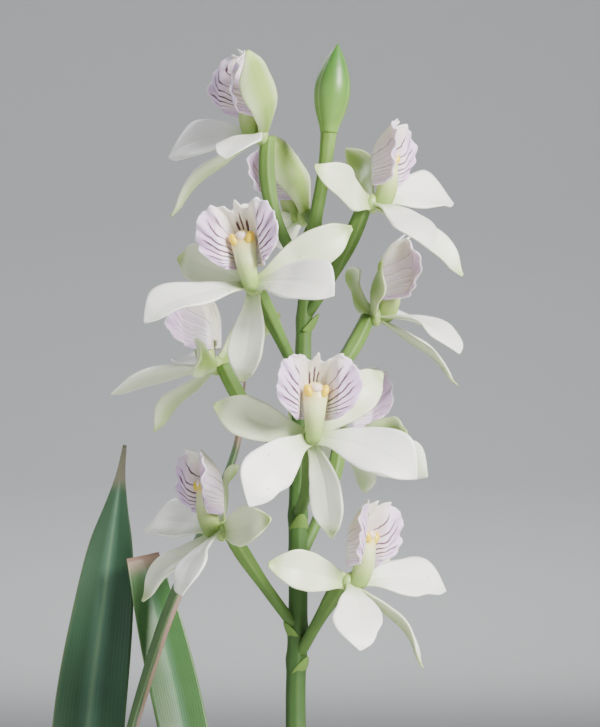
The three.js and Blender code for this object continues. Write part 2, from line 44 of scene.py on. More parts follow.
POT_EDGE = 1.3
DRAIN = {"count": 4, "from": 19, "radius": 4, "low": -4, "high": 12}


def shade(colour):
    """A colour written as #rrggbb, turned from screen values into light values."""
    parts = np.array([int(colour[i : i + 2], 16) for i in (1, 3, 5)]) / 255
    light = np.where(parts < 0.04045, parts / 12.92, ((parts + 0.055) / 1.055) ** 2.4)
    return (*light.tolist(), 1.0)


def unit(vectors):
    """Each vector divided by its own length."""
    return vectors / np.maximum(np.linalg.norm(vectors, axis=-1, keepdims=True), 1e-12)


def rounded(corners, radius):
    """Each inner corner becomes five points of the parabola that starts and ends radius away."""
    corners = np.array(corners, float)
    before = unit(corners[:-2] - corners[1:-1])
    after = unit(corners[2:] - corners[1:-1])
    t = np.linspace(0, 1, 5)[None, :, None]
    middle = corners[1:-1, None]
    arcs = middle + radius * ((1 - t) ** 2 * before[:, None] + t**2 * after[:, None])
    return np.concatenate([corners[:1], arcs.reshape(-1, 2), corners[-1:]])


def solid(rings, **values):
    """A round solid through rings[row, around], in mm: quads run from ring to ring and round
    each ring, and the two end rings close on their middles. Values are kept at each point."""
    rows, around = rings.shape[:2]
    here = np.arange(rows * around).reshape(rows, around)
    beside = np.roll(here, -1, axis=1)
    walls = np.stack([here[:-1], beside[:-1], beside[1:], here[1:]], axis=-1).reshape(-1, 4)
    foot = np.full(around, rows * around)
    low = np.stack([beside[0], here[0], foot], axis=-1)
    high = np.stack([here[-1], beside[-1], foot + 1], axis=-1)
    points = np.concatenate([rings.reshape(-1, 3), rings[[0, -1]].mean(axis=1)])
    stored = {}
    for name, value in values.items():
        value = np.broadcast_to(value, (rows, around))
        stored[name] = np.concatenate([value.ravel(), value[[0, -1]].mean(axis=1)])
    return points, walls.tolist() + low.tolist() + high.tolist(), stored


def build(name, parts, material, slot, *nodes):
    """Puts solids and sheets, in mm, into one smooth mesh in metres, and hands it to the frame
    as the piece that stands for the nodes."""
    points, faces, values = [], [], {}
    start = 0
    for part_points, part_faces, part_values in parts:
        faces += [[corner + start for corner in face] for face in part_faces]
        points.append(part_points)
        for key, value in part_values.items():
            values.setdefault(key, []).append(value)
        start += len(part_points)
    mesh = bpy.data.meshes.new(name)
    mesh.from_pydata((np.concatenate(points) * MM).tolist(), [], faces)
    mesh.polygons.foreach_set("use_smooth", np.ones(len(faces), bool))
    for key, value in values.items():
        attribute = mesh.attributes.new(key, "FLOAT", "POINT")
        attribute.data.foreach_set("value", np.concatenate(value).astype(np.float32))
    mesh.materials.append(material)
    piece = bpy.data.objects.new(name, mesh)
    bpy.context.scene.collection.objects.link(piece)
    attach(piece, "root")
    if nodes:
        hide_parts(*nodes)
    return piece


def revolved(profile, around):
    """A profile of (radius, height) carried round the vertical axis."""
    turn = np.linspace(0, 2 * np.pi, around, endpoint=False)
    radius = np.maximum(profile[:, 0, None], 0.01)
    height = np.broadcast_to(profile[:, 1, None], (len(profile), around))
    return np.stack([radius * np.cos(turn), radius * np.sin(turn), height], axis=-1)


def join(tree, kind, inputs=(), **settings):
    """Adds a node with its settings, and links or fills the inputs that are named."""
    node = tree.nodes.new(kind)
    for key, value in settings.items():
        setattr(node, key, value)
    for key, value in dict(inputs).items():
        if isinstance(value, bpy.types.NodeSocket):
            tree.links.new(value, node.inputs[key])
        else:
            node.inputs[key].default_value = value
    return node


def mixed(tree, share, first, second):
    """The first colour where share is 0, and the second where it is 1."""
    return join(tree, "ShaderNodeMix", {0: share, 6: first, 7: second}, data_type="RGBA").outputs[2]


def eased(tree, value, low, high, start=0.0, end=1.0):
    """A smooth step from start, where value is low, to end, where it is high."""
    inputs = {0: value, 1: low, 2: high, 3: start, 4: end}
    return join(tree, "ShaderNodeMapRange", inputs, interpolation_type="SMOOTHSTEP").outputs[0]


def maths(tree, kind, first, second=0.0):
    """Arithmetic on one or two values."""
    return join(tree, "ShaderNodeMath", {0: first, 1: second}, operation=kind).outputs[0]


def times(tree, first, second):
    """The product of two values."""
    return maths(tree, "MULTIPLY", first, second)


def ramp(tree, value, stops):
    """Colours blended along a value. The first stop is at 0 and the last at 1."""
    node = join(tree, "ShaderNodeValToRGB", {0: value})
    elements = node.color_ramp.elements
    for place_at, colour in stops[1:-1]:
        elements.new(place_at).color = shade(colour)
    elements[0].color = shade(stops[0][1])
    elements[-1].color = shade(stops[-1][1])
    return node.outputs[0]


def kept(tree, name):
    """A value that the mesh keeps at its points."""
    return join(tree, "ShaderNodeAttribute", attribute_name=name).outputs["Fac"]


def finish(name, roughness, coat=0.0, subsurface=0.0):
    """A material with its steady values set. Colour and bump are joined to it afterwards."""
    material = bpy.data.materials.new(name)
    material.use_nodes = True
    tree = material.node_tree
    shader = tree.nodes["Principled BSDF"]
    shader.inputs["Roughness"].default_value = roughness
    shader.inputs["Coat Weight"].default_value = coat
    shader.inputs["Coat Roughness"].default_value = 0.35
    shader.inputs["Subsurface Weight"].default_value = subsurface
    shader.inputs["Subsurface Radius"].default_value = (1.0, 0.9, 0.5)
    shader.inputs["Subsurface Scale"].default_value = 0.0012
    return material, tree, shader


def bumped(tree, shader, height, depth):
    """Raises the surface by height, scaled to a depth in metres."""
    bump = join(tree, "ShaderNodeBump", {"Height": height, "Distance": depth, "Strength": 0.7})
    tree.links.new(bump.outputs[0], shader.inputs["Normal"])


# Uneven growth, clouding and wear: soft noise that darkens and lightens a colour
mottle = bpy.data.node_groups.new("mottle", "ShaderNodeTree")
for label, kind, value in [("Scale", "NodeSocketFloat", 60.0), ("Amount", "NodeSocketFloat", 0.2)]:
    mottle.interface.new_socket(label, in_out="INPUT", socket_type=kind).default_value = value
mottle.interface.new_socket("Color", in_out="INPUT", socket_type="NodeSocketColor")
mottle.interface.new_socket("Color", in_out="OUTPUT", socket_type="NodeSocketColor")
mottle.interface.new_socket("Value", in_out="OUTPUT", socket_type="NodeSocketFloat")
into = mottle.nodes.new("NodeGroupInput")
out = mottle.nodes.new("NodeGroupOutput")
place = join(mottle, "ShaderNodeTexCoord").outputs["Object"]
cloud_in = {"Vector": place, "Scale": into.outputs["Scale"], "Detail": 5.0, "Roughness": 0.62}
cloud = join(mottle, "ShaderNodeTexNoise", cloud_in).outputs[0]
centred = maths(mottle, "SUBTRACT", cloud, 0.5)
swing = times(mottle, centred, into.outputs["Amount"])
level_in = {0: swing, 1: 2.0, 2: 1.0}
level = join(mottle, "ShaderNodeMath", level_in, operation="MULTIPLY_ADD").outputs[0]
scaled_in = {0: into.outputs["Color"], "Scale": level}
scaled = join(mottle, "ShaderNodeVectorMath", scaled_in, operation="SCALE").outputs[0]
mottle.links.new(scaled, out.inputs["Color"])
mottle.links.new(cloud, out.inputs["Value"])


def mottled(tree, colour, scale, amount):
    """The colour through the mottle group, and the group's noise."""
    inputs = {"Color": colour, "Scale": scale, "Amount": amount}
    group = join(tree, "ShaderNodeGroup", inputs, node_tree=mottle)
    return group.outputs["Color"], group.outputs["Value"]


clay, tree, shader = finish("fired_clay", 0.9)
place = join(tree, "ShaderNodeTexCoord").outputs["Object"]
lime_in = {"Vector": place, "Scale": 34.0, "Detail": 8.0, "Roughness": 0.7, "Distortion": 0.4}
lime = eased(tree, join(tree, "ShaderNodeTexNoise", lime_in).outputs[0], 0.5, 0.72)
height = join(tree, "ShaderNodeSeparateXYZ", {0: place}).outputs["Z"]
damp = eased(tree, height, 0.01, 0.06, 0.75, 0.35)
colour = mixed(tree, times(tree, lime, damp), shade("#b4633c"), shade("#d3b09a"))
colour = mottled(tree, colour, 90.0, 0.35)[0]
tree.links.new(colour, shader.inputs["Base Color"])
rings_in = {"Vector": place, "Scale": 130.0, "Distortion": 1.2, "Detail": 2.0}
wheel = join(tree, "ShaderNodeTexWave", rings_in, bands_direction="Z").outputs["Fac"]
grit_in = {"Vector": place, "Scale": 900.0, "Detail": 3.0}
grit = join(tree, "ShaderNodeTexNoise", grit_in).outputs[0]
bumped(tree, shader, maths(tree, "ADD", times(tree, wheel, 0.6), grit), 0.00025)

wall = rounded(POT_OUTSIDE + POT_INSIDE, POT_EDGE)
pot = build("clay_pot", [solid(revolved(wall, 96))], clay, "terracotta", "pot")
turn = 2 * np.pi * (np.arange(DRAIN["count"]) + 0.5) / DRAIN["count"]
hole, low, high = DRAIN["radius"], DRAIN["low"], DRAIN["high"]
plug = revolved(np.array([(0, low), (hole, low), (hole, high), (0, high)], float), 32)
plugs = [solid(plug + DRAIN["from"] * np.array([np.cos(a), np.sin(a), 0])) for a in turn]
drill = build("drain_drill", plugs, clay, "terracotta")
cut = pot.modifiers.new("drains", "BOOLEAN")
cut.operation = "DIFFERENCE"
cut.object = drill
drilled = bpy.data.meshes.new_from_object(pot.evaluated_get(bpy.context.evaluated_depsgraph_get()))
pot.modifiers.clear()
pot.data = drilled
bpy.data.objects.remove(drill)

# Potting mix
# Coarse fir bark fills the pot: a dark bed, and loose angular chips on top at every angle.
# The chips are rough, dry and brown, with greyer weathered faces.
MIX_TOP = 79
CHIPS = 420
CHIP_SPREAD = 38.5
CHIP_LIMIT = 42
GOLDEN_TURN = 2.399963
rng = np.random.default_rng(12)
bark, tree, shader = finish("fir_bark", 0.95)
stops = [(0, "#2f2018"), (0.45, "#5d4230"), (0.75, "#7d5c41"), (1, "#9a8570")]
colour, cloud = mottled(tree, ramp(tree, kept(tree, "tone"), stops), 420.0, 0.6)
tree.links.new(colour, shader.inputs["Base Color"])
bumped(tree, shader, cloud, 0.0009)

bed_line = np.array([(0, 6), (31, 6), (39.5, 70), (41, MIX_TOP), (30, MIX_TOP - 0.6), (0, MIX_TOP)], float)
bed = revolved(bed_line, 48)
parts = [solid(bed, tone=0.05)]
away = CHIP_SPREAD * np.sqrt((np.arange(CHIPS) + 0.5) / CHIPS)
turn = np.arange(CHIPS) * GOLDEN_TURN
rows = np.linspace(-1, 1, 6)
loop = np.linspace(0, 2 * np.pi, 8, endpoint=False)
blunt = [np.sign(wave) * np.abs(wave) ** 0.5 for wave in (np.cos(loop), np.sin(loop))]
girth = (1 - np.abs(rows) ** 3.5)[:, None] * 0.85 + 0.15
for i in range(CHIPS):
    long, wide, deep = rng.uniform(2.4, 6), rng.uniform(1.6, 3.8), rng.uniform(0.9, 2)
    length = rows[:, None] * long + 0 * girth * blunt[0]
    lump = np.stack([length, girth * blunt[0] * wide, girth * blunt[1] * deep], -1)
    lump += rng.normal(0, 0.22, lump.shape)
    angles = rng.uniform(0, 6.28), rng.normal(0, 0.3), rng.normal(0, 0.4)
    (cy, cp, cr), (sy, sp, sr) = np.cos(angles), np.sin(angles)
    yaw = np.array([[cy, -sy, 0], [sy, cy, 0], [0, 0, 1]])
    pitch = np.array([[cp, 0, sp], [0, 1, 0], [-sp, 0, cp]])
    roll = np.array([[1, 0, 0], [0, cr, -sr], [0, sr, cr]])
    spin = yaw @ pitch @ roll
    reach = min(away[i], CHIP_LIMIT - long)
    seat = np.array([reach * np.cos(turn[i]), reach * np.sin(turn[i]), MIX_TOP + rng.uniform(-1, 1.6)])
    parts.append(solid(lump @ spin.T + seat, tone=rng.uniform(0.1, 1)))
build("bark_mix", parts, bark, "bark", "potting_mix")

# Rhizome and roots
# A woody stem creeps over the bark and joins the bulbs. Thick pale roots leave it, lie on the
# bark and go down into it, each with a spongy silver-grey skin.
RHIZOME_HEIGHT = 80.6
RUNS = [
    [(-28, 25), (-23, 20), (-8, 6), (8, -8), (14, -14)],
    [(-3, 2), (5, 10), (14, 14), (19, 16)],
]
ROOTS = [
    [(8, -8, 80), (17, -19, 81), (25, -25, 79), (28, -28, 70)],
    [(8, -8, 80), (1, -19, 81), (-4, -28, 79), (-6, -31, 70)],
    [(-8, 6, 80), (-17, 0, 81), (-26, -5, 79), (-29, -7, 70)],
    [(14, 14, 80), (24, 9, 81), (31, 3, 79), (33, 1, 70)],
    [(-23, 20, 80), (-16, 29, 81), (-12, 34, 78), (-11, 36, 70)],
    [(14, 14, 80), (15, 24, 81.5), (9, 33, 80), (6, 37, 72)],
    [(8, -8, 80), (14, -10, 82), (24, -12, 81), (31, -16, 74)],
    [(-8, 6, 80), (-13, 14, 82), (-22, 30, 80), (-25, 32, 73)],
]


def flowing(points, t):
    """The centripetal Catmull-Rom curve through the points. t runs from 0 to 1 and passes the
    points at even steps; each span is a cubic whose end slopes come from its neighbours."""
    points = np.array(points, float)
    line = np.concatenate([2 * points[:1] - points[1:2], points, 2 * points[-1:] - points[-2:-1]])
    place = np.clip(t, 0, 1) * (len(points) - 1)
    span = np.minimum(place.astype(int), len(points) - 2)
    w = (place - span)[:, None]
    a, b, c, d = (line[span + k] for k in range(4))
    spans = b - a, c - b, d - c
    before, step, after = (np.linalg.norm(s, axis=1, keepdims=True) ** 0.5 for s in spans)
    leave = step * ((b - a) / before - (c - a) / (before + step) + (c - b) / step)
    arrive = step * ((c - b) / step - (d - b) / (step + after) + (d - c) / after)
    bend = (2 * b - 2 * c + leave + arrive) * w**3 + (3 * c - 3 * b - 2 * leave - arrive) * w**2
    return bend + leave * w + b


def evenly(path, count):
    """Points at even distances along a path."""
    gone = np.concatenate([[0], np.cumsum(np.linalg.norm(np.diff(path, axis=0), axis=1))])
    steps = np.linspace(0, gone[-1], count)
    return np.stack([np.interp(steps, gone, path[:, k]) for k in range(3)], axis=-1)


def smooth(profile, t):
    """A value along a profile of (place, value): cubics with the mean slope at each point."""
    x, y = np.array(profile, float).T
    slope = np.gradient(y, x)
    span = np.clip(np.searchsorted(x, t) - 1, 0, len(x) - 2)
    step = x[span + 1] - x[span]
    w = (t - x[span]) / step
    rise = (2 * w**3 - 3 * w**2 + 1) * y[span] + (3 * w**2 - 2 * w**3) * y[span + 1]
    return rise + step * ((w**3 - 2 * w**2 + w) * slope[span] + (w**3 - w**2) * slope[span + 1])


def tube(path, radius, around, upright):
    """Rings at right angles to a path. The first axis of each ring lies at right angles to
    upright, and radius is a value for each row, or for each row and place round the ring."""
    along = unit(np.gradient(path, axis=0))
    side = unit(np.cross(along, upright))
    other = np.cross(along, side)
    turn = np.linspace(0, 2 * np.pi, around, endpoint=False)
    ring = side[:, None] * np.cos(turn)[None, :, None] + other[:, None] * np.sin(turn)[None, :, None]
    radius = np.broadcast_to(np.reshape(radius, (len(path), -1)), (len(path), around))
    return path[:, None] + ring * radius[..., None]


old_stem, tree, shader = finish("creeping_stem", 0.85)
colour = mixed(tree, eased(tree, kept(tree, "tone"), 0.0, 1.0), shade("#8a7a52"), shade("#b9b59c"))
colour, cloud = mottled(tree, colour, 260.0, 0.5)
tree.links.new(colour, shader.inputs["Base Color"])
bumped(tree, shader, cloud, 0.0006)

parts = []
for run in RUNS:
    path = evenly(flowing([(x, y, RHIZOME_HEIGHT) for x, y in run], np.linspace(0, 1, 80)), 70)
    scales = 2.75 + 0.35 * np.abs(np.sin(np.linspace(0, 11 * np.pi, 70))) ** 0.4
    scales[[0, -1]] = 1.2
    parts.append(solid(tube(path, scales, 20, (0, 0, 1)), tone=0.0))
for root in ROOTS:
    path = evenly(flowing(root, np.linspace(0, 1, 60)), 44)
    thick = 1.05 + 0.12 * np.sin(np.linspace(0, 9, 44))
    parts.append(solid(tube(path, thick, 12, (0.3, 0.2, 1)), tone=1.0))
build("rhizome_and_roots", parts, old_stem, "rhizome_brown", "rhizome")

# Pseudobulbs
# Four swollen storage stems, flattened and ribbed, stand in a row on the rhizome. Each is green
# to yellow-green, and dry papery sheaths with torn edges wrap its foot.
BULB = {"height": 68, "wide": 11, "thick": 8.5, "stands": 84}
BULBS = [((8, -8), 25), ((-8, 6), 100), ((-23, 20), 40), ((14, 14), 35)]
BULB_SHAPE = [
    (0, 0.36), (0.08, 0.66), (0.22, 0.94), (0.38, 1),
    (0.6, 0.86), (0.8, 0.62), (0.93, 0.49), (1, 0.46),
]


def bulb_skin(spot, wide, t, turn, lift=0.0):
    """A point of a bulb: an ellipse whose size follows the bulb's shape at height t, turned by
    wide, with fourteen shallow ribs, and lifted off the skin by lift."""
    share = smooth(BULB_SHAPE, t)
    rib = 1 + 0.022 * np.cos(14 * turn) * np.sin(np.pi * np.clip(t, 0.02, 1))
    x = (BULB["wide"] * share * rib + lift) * np.cos(turn)
    y = (BULB["thick"] * share * rib + lift) * np.sin(turn)
    a = np.radians(wide)
    height = BULB["stands"] + BULB["height"] * t
    right = spot[0] + x * np.cos(a) - y * np.sin(a)
    back = spot[1] + x * np.sin(a) + y * np.cos(a)
    return np.stack([right, back, height], -1)


def shell(sheet, thickness, **values):
    """A thin solid: a sheet[row, column], in mm, is moved half its thickness to each side along
    its own normal, and closed round its rim. Its first face is the one kept as front."""
    rows, columns = sheet.shape[:2]
    normal = unit(np.cross(np.gradient(sheet, axis=1), np.gradient(sheet, axis=0)))
    shift = normal * (np.broadcast_to(thickness, (rows, columns)) / 2)[..., None]
    points = np.concatenate([(sheet + shift).reshape(-1, 3), (sheet - shift).reshape(-1, 3)])
    f = np.arange(rows * columns).reshape(rows, columns)
    b = f + rows * columns
    faces = [
        (f[:-1, :-1], f[:-1, 1:], f[1:, 1:], f[1:, :-1]),
        (b[:-1, :-1], b[1:, :-1], b[1:, 1:], b[:-1, 1:]),
        (f[:-1, 0], f[1:, 0], b[1:, 0], b[:-1, 0]),
        (f[:-1, -1], b[:-1, -1], b[1:, -1], f[1:, -1]),
        (f[0, :-1], b[0, :-1], b[0, 1:], f[0, 1:]),
        (f[-1, :-1], f[-1, 1:], b[-1, 1:], b[-1, :-1]),
    ]
    quads = np.concatenate([np.stack([corner.ravel() for corner in face], -1) for face in faces])
    stored = {}
    for key, value in values.items():
        stored[key] = np.tile(np.broadcast_to(value, (rows, columns)).ravel(), 2)
    stored["front"] = np.repeat([1.0, 0.0], rows * columns)
    return points, quads.tolist(), stored


bulb_green, tree, shader = finish("bulb_skin", 0.5, coat=0.15)
high = kept(tree, "along")
colour = mixed(tree, eased(tree, high, 0.0, 0.85), shade("#8d9a4c"), shade("#5f7f38"))
place = join(tree, "ShaderNodeTexCoord").outputs["Object"]
fibre_place = join(tree, "ShaderNodeMapping", {"Vector": place, "Scale": (1.0, 1.0, 0.06)}).outputs[0]
fibre = join(tree, "ShaderNodeTexNoise", {"Vector": fibre_place, "Scale": 900.0, "Detail": 3.0}).outputs[0]
pale = times(tree, eased(tree, fibre, 0.48, 0.75), 0.5)
colour = mixed(tree, pale, colour, shade("#a9b06b"))
colour = mottled(tree, colour, 120.0, 0.35)[0]
tree.links.new(colour, shader.inputs["Base Color"])
bumped(tree, shader, fibre, 0.0004)

papery, tree, shader = finish("dry_sheath", 0.8)
place = join(tree, "ShaderNodeTexCoord").outputs["Object"]
vein_place = join(tree, "ShaderNodeMapping", {"Vector": place, "Scale": (1.0, 1.0, 0.05)}).outputs[0]
vein = join(tree, "ShaderNodeTexNoise", {"Vector": vein_place, "Scale": 1400.0, "Detail": 2.0}).outputs[0]
colour = mixed(tree, eased(tree, vein, 0.4, 0.68), shade("#c3b083"), shade("#8f7650"))
colour = mottled(tree, colour, 200.0, 0.4)[0]
tree.links.new(colour, shader.inputs["Base Color"])
bumped(tree, shader, vein, 0.0005)

t, turn = np.meshgrid(np.linspace(0, 1, 40), np.linspace(0, 2 * np.pi, 70, endpoint=False), indexing="ij")
for number, (spot, wide) in enumerate(BULBS, 1):
    body = solid(bulb_skin(spot, wide, t, turn), along=t)
    build(f"storage_bulb_{number}", [body], bulb_green, "bulb_green", f"pseudobulb_{number}")
    wraps = []
    for k, (tall, start, reach) in enumerate([(0.42, 20, 250), (0.24, 200, 300)]):
        h, s = np.meshgrid(np.linspace(0, 1, 26), np.linspace(0, 1, 60), indexing="ij")
        torn = tall * (0.62 + 0.38 * np.sin(np.pi * s) ** 0.6)
        torn = torn + 0.02 * np.sin(37 * s + number) + 0.03 * np.sin(13 * s + 2 * number + k)
        around = np.radians(start + 60 * number + reach * (s - 0.5))
        loose = 0.35 + 0.4 * k + (0.5 + 0.8 * np.abs(2 * s - 1) ** 3) * h**2
        sheet = bulb_skin(spot, wide, h * torn, around, loose)
        wraps.append(shell(sheet, 0.22, along=h))
    build(f"bulb_sheath_{number}", wraps, papery, "sheath_tan")

# Leaves
# Two strap leaves grow from the top of each bulb: leathery, folded at the foot, with a sunken
# midrib and fine parallel veins. Those behind the flowers stand up; one of them has been cut,
# and two have dried at the tip.
LEAF_FOOT = 151.5
LEAF_THICK = 1.1
LEAF_SHAPE = [
    (0, 0.24), (0.12, 0.42), (0.3, 0.86), (0.5, 1),
    (0.68, 0.94), (0.84, 0.66), (0.94, 0.34), (1, 0.05),
]
TAPERED_SHAPE = [
    (0, 0.24), (0.12, 0.42), (0.3, 0.86), (0.5, 0.97), (0.63, 0.93), (0.75, 0.75),
    (0.83, 0.56), (0.9, 0.28), (0.95, 0.12), (1, 0.05),
]
DRY_TIP_SHAPE = [(0, 0.24), (0.2, 0.7), (0.5, 1), (0.7, 0.9), (0.8, 0.5), (0.86, 0.22), (1, 0.08)]
CUT_LEAF_SHAPE = [(0, 0.3), (0.2, 0.7), (0.5, 1), (0.9, 1), (1, 0.75)]
STANDING_TALL = [(-26.6, 23), (-34, 31, 205), (-38.8, 37, 250), (-35.4, 40, 285), (-31.8, 40, 310.8)]
EDGE_ON = [
    (-19.4, 17), (-29, 22, 200), (-33.5, 24, 240),
    (-25.5, 26, 277), (-11.3, 26, 311), (-9.6, 26, 323.5),
]
CUT_SHORT = [(-7.2, 1.4), (-12, 22, 205), (-20, 32, 255), (-28.5, 36, 291)]
LEAVES = [
    {
        "points": STANDING_TALL, "width": 13.5, "face": (0.2, -1, 0.1),
        "shape": TAPERED_SHAPE, "dry": 0.92, "blue": 0.9,
    },
    {
        "points": EDGE_ON, "width": 7.5, "face": (1, -0.1, -0.3),
        "shape": DRY_TIP_SHAPE, "dry": 0.8, "blue": 0.6, "pale_side": 1,
    },
    {
        "points": CUT_SHORT, "width": 8, "face": (0.3, -1, 0),
        "shape": CUT_LEAF_SHAPE, "dry": 0.975, "blue": 0.1,
    },
    {"points": [(-8.8, 10.6), (-8, 45, 208), (-14, 80, 226), (-18, 115, 200)], "width": 17},
    {"points": [(3.8, -10), (-20, -32, 205), (-45, -55, 226), (-78, -80, 205)], "width": 18},
    {"points": [(12.2, -6), (35, -20, 205), (62, -33, 225), (98, -48, 203)], "width": 18},
    {"points": [(17.8, 16.6), (40, 28, 205), (66, 42, 226), (100, 58, 204)], "width": 17},
    {"points": [(10.2, 11.4), (30, 50, 205), (42, 80, 222), (52, 112, 195)], "width": 16},
]


def blade(path, face, half_width, lift, across):
    """A leaf or tepal sheet: each row runs from margin to margin at right angles to the path,
    half_width to each side, and stands off the path by lift towards the face."""
    along = unit(np.gradient(path, axis=0))
    normal = unit(face - (face * along).sum(-1, keepdims=True) * along)
    side = np.cross(along, normal)
    flat = path[:, None] + side[:, None] * (half_width[:, None] * across)[..., None]
    return flat + normal[:, None] * lift[..., None]


leaf_green, tree, shader = finish("leathery_leaf", 0.42, coat=0.2)
across, front = kept(tree, "across"), kept(tree, "front")
colour = mixed(tree, kept(tree, "blue"), shade("#44703a"), shade("#214834"))
lines = maths(tree, "SINE", times(tree, across, 62.0))
colour = mixed(tree, eased(tree, lines, 0.2, 1.4, 0.0, 0.08), colour, shade("#6f9660"))
# Painted sheen: a paler blue-green band along the middle of the blade stands for light reflected off the
# glossy leaf
painted_sheen = eased(tree, maths(tree, "ABSOLUTE", across), 0.0, 0.45, 0.4, 0.0)
colour = mixed(tree, painted_sheen, colour, shade("#6d9a86"))
rib = eased(tree, maths(tree, "ABSOLUTE", across), 0.0, 0.14, 0.24, 0.0)
colour = mixed(tree, rib, colour, shade("#93b382"))
pale_back = times(tree, maths(tree, "SUBTRACT", 1.0, front), 0.4)
colour = mixed(tree, pale_back, colour, shade("#86a36a"))
edge = eased(tree, maths(tree, "ABSOLUTE", across), 0.93, 1.0, 0.0, 0.12)
colour = mixed(tree, edge, colour, shade("#a8b27a"))
colour, cloud = mottled(tree, colour, 70.0, 0.35)
uneven = maths(tree, "ADD", kept(tree, "dry"), times(tree, cloud, 0.06))
dryness = eased(tree, uneven, 0.02, 0.06)
rosy = mixed(tree, cloud, shade("#b98f86"), shade("#93806f"))
dead = mixed(tree, eased(tree, kept(tree, "blue"), 0.6, 0.9), rosy, shade("#6c6a5a"))
colour = mixed(tree, dryness, colour, dead)
tree.links.new(colour, shader.inputs["Base Color"])
height = maths(tree, "ADD", times(tree, lines, 0.05), cloud)
bumped(tree, shader, height, 0.0002)

t = np.linspace(0, 1, 110)
across = np.linspace(-1, 1, 25)
for number, leaf in enumerate(LEAVES, 1):
    (x, y), *rest = leaf["points"]
    path = flowing([(x, y, LEAF_FOOT), *rest], t)
    outwards = unit((path[-1] - path[0]) * (1, 1, 0))
    face = np.array(leaf["face"], float) if "face" in leaf else np.array([0, 0, 1]) - 0.5 * outwards
    half = smooth(leaf.get("shape", LEAF_SHAPE), t) * leaf["width"] / 2
    fold = 0.3 + 0.55 * np.clip(1 - t / 0.25, 0, 1) ** 1.5
    lift = (fold * half)[:, None] * np.abs(across) ** 1.5
    lift = lift + 0.05 * half[:, None] * across**2 * np.sin(19 * t + number)[:, None]
    thick = LEAF_THICK * (1 - 0.6 * across**4) * (0.55 + 0.45 * np.cos(across * np.pi / 2))
    thick = thick * np.clip(6 * (1 - t), 0.35, 1)[:, None]
    values = {"across": across[None], "blue": leaf.get("blue", 0.45)}
    pale = 0.1 * np.clip(leaf.get("pale_side", 0) * across[None] - 0.2, 0, 1)
    values["dry"] = np.clip(t[:, None] - leaf.get("dry", 2.0), -0.02, 1) + pale
    strap = shell(blade(path, face, half, lift, across), thick, **values)
    build(f"strap_leaf_{number}", [strap], leaf_green, "leaf_green", f"leaf_{number}")

# Flower spike
# One smooth green stalk rises from the youngest bulb. Ten ribbed flower stalks branch from it,
# each above a small pointed bract, and widen into a ribbed seed case behind their flower.
# A dry sheath stands round the spike's foot.
SPIKE = [
    (8, -8, 152.3), (7, -7.5, 175), (3.5, -4.5, 215), (0, -1, 250), (-0.7, 0, 268), (-0.3, 0, 285),
    (-0.3, 0, 302), (0.4, 0, 323), (1, 0, 338), (2.5, 0, 349), (4.1, 0, 358), (4.9, 0, 365),
]
SPIKE_RADII = [(0, 2), (0.3, 1.9), (0.55, 1.65), (0.8, 1.4), (0.93, 1.08), (0.975, 1.15), (1, 1.4)]
OVARY = {"top": 1.35, "base": 0.95, "inset": 3.9}
NODE = {"swell": 0.13, "reach": 1.3}
BRACT = {"below": 2.2, "off": 0.9, "out": 1.8, "tall": 3.2, "half": 1.5, "thick": 0.35}
SPATHE = {"radius": 2.6, "height": 28, "faces": -65, "thick": 0.35}
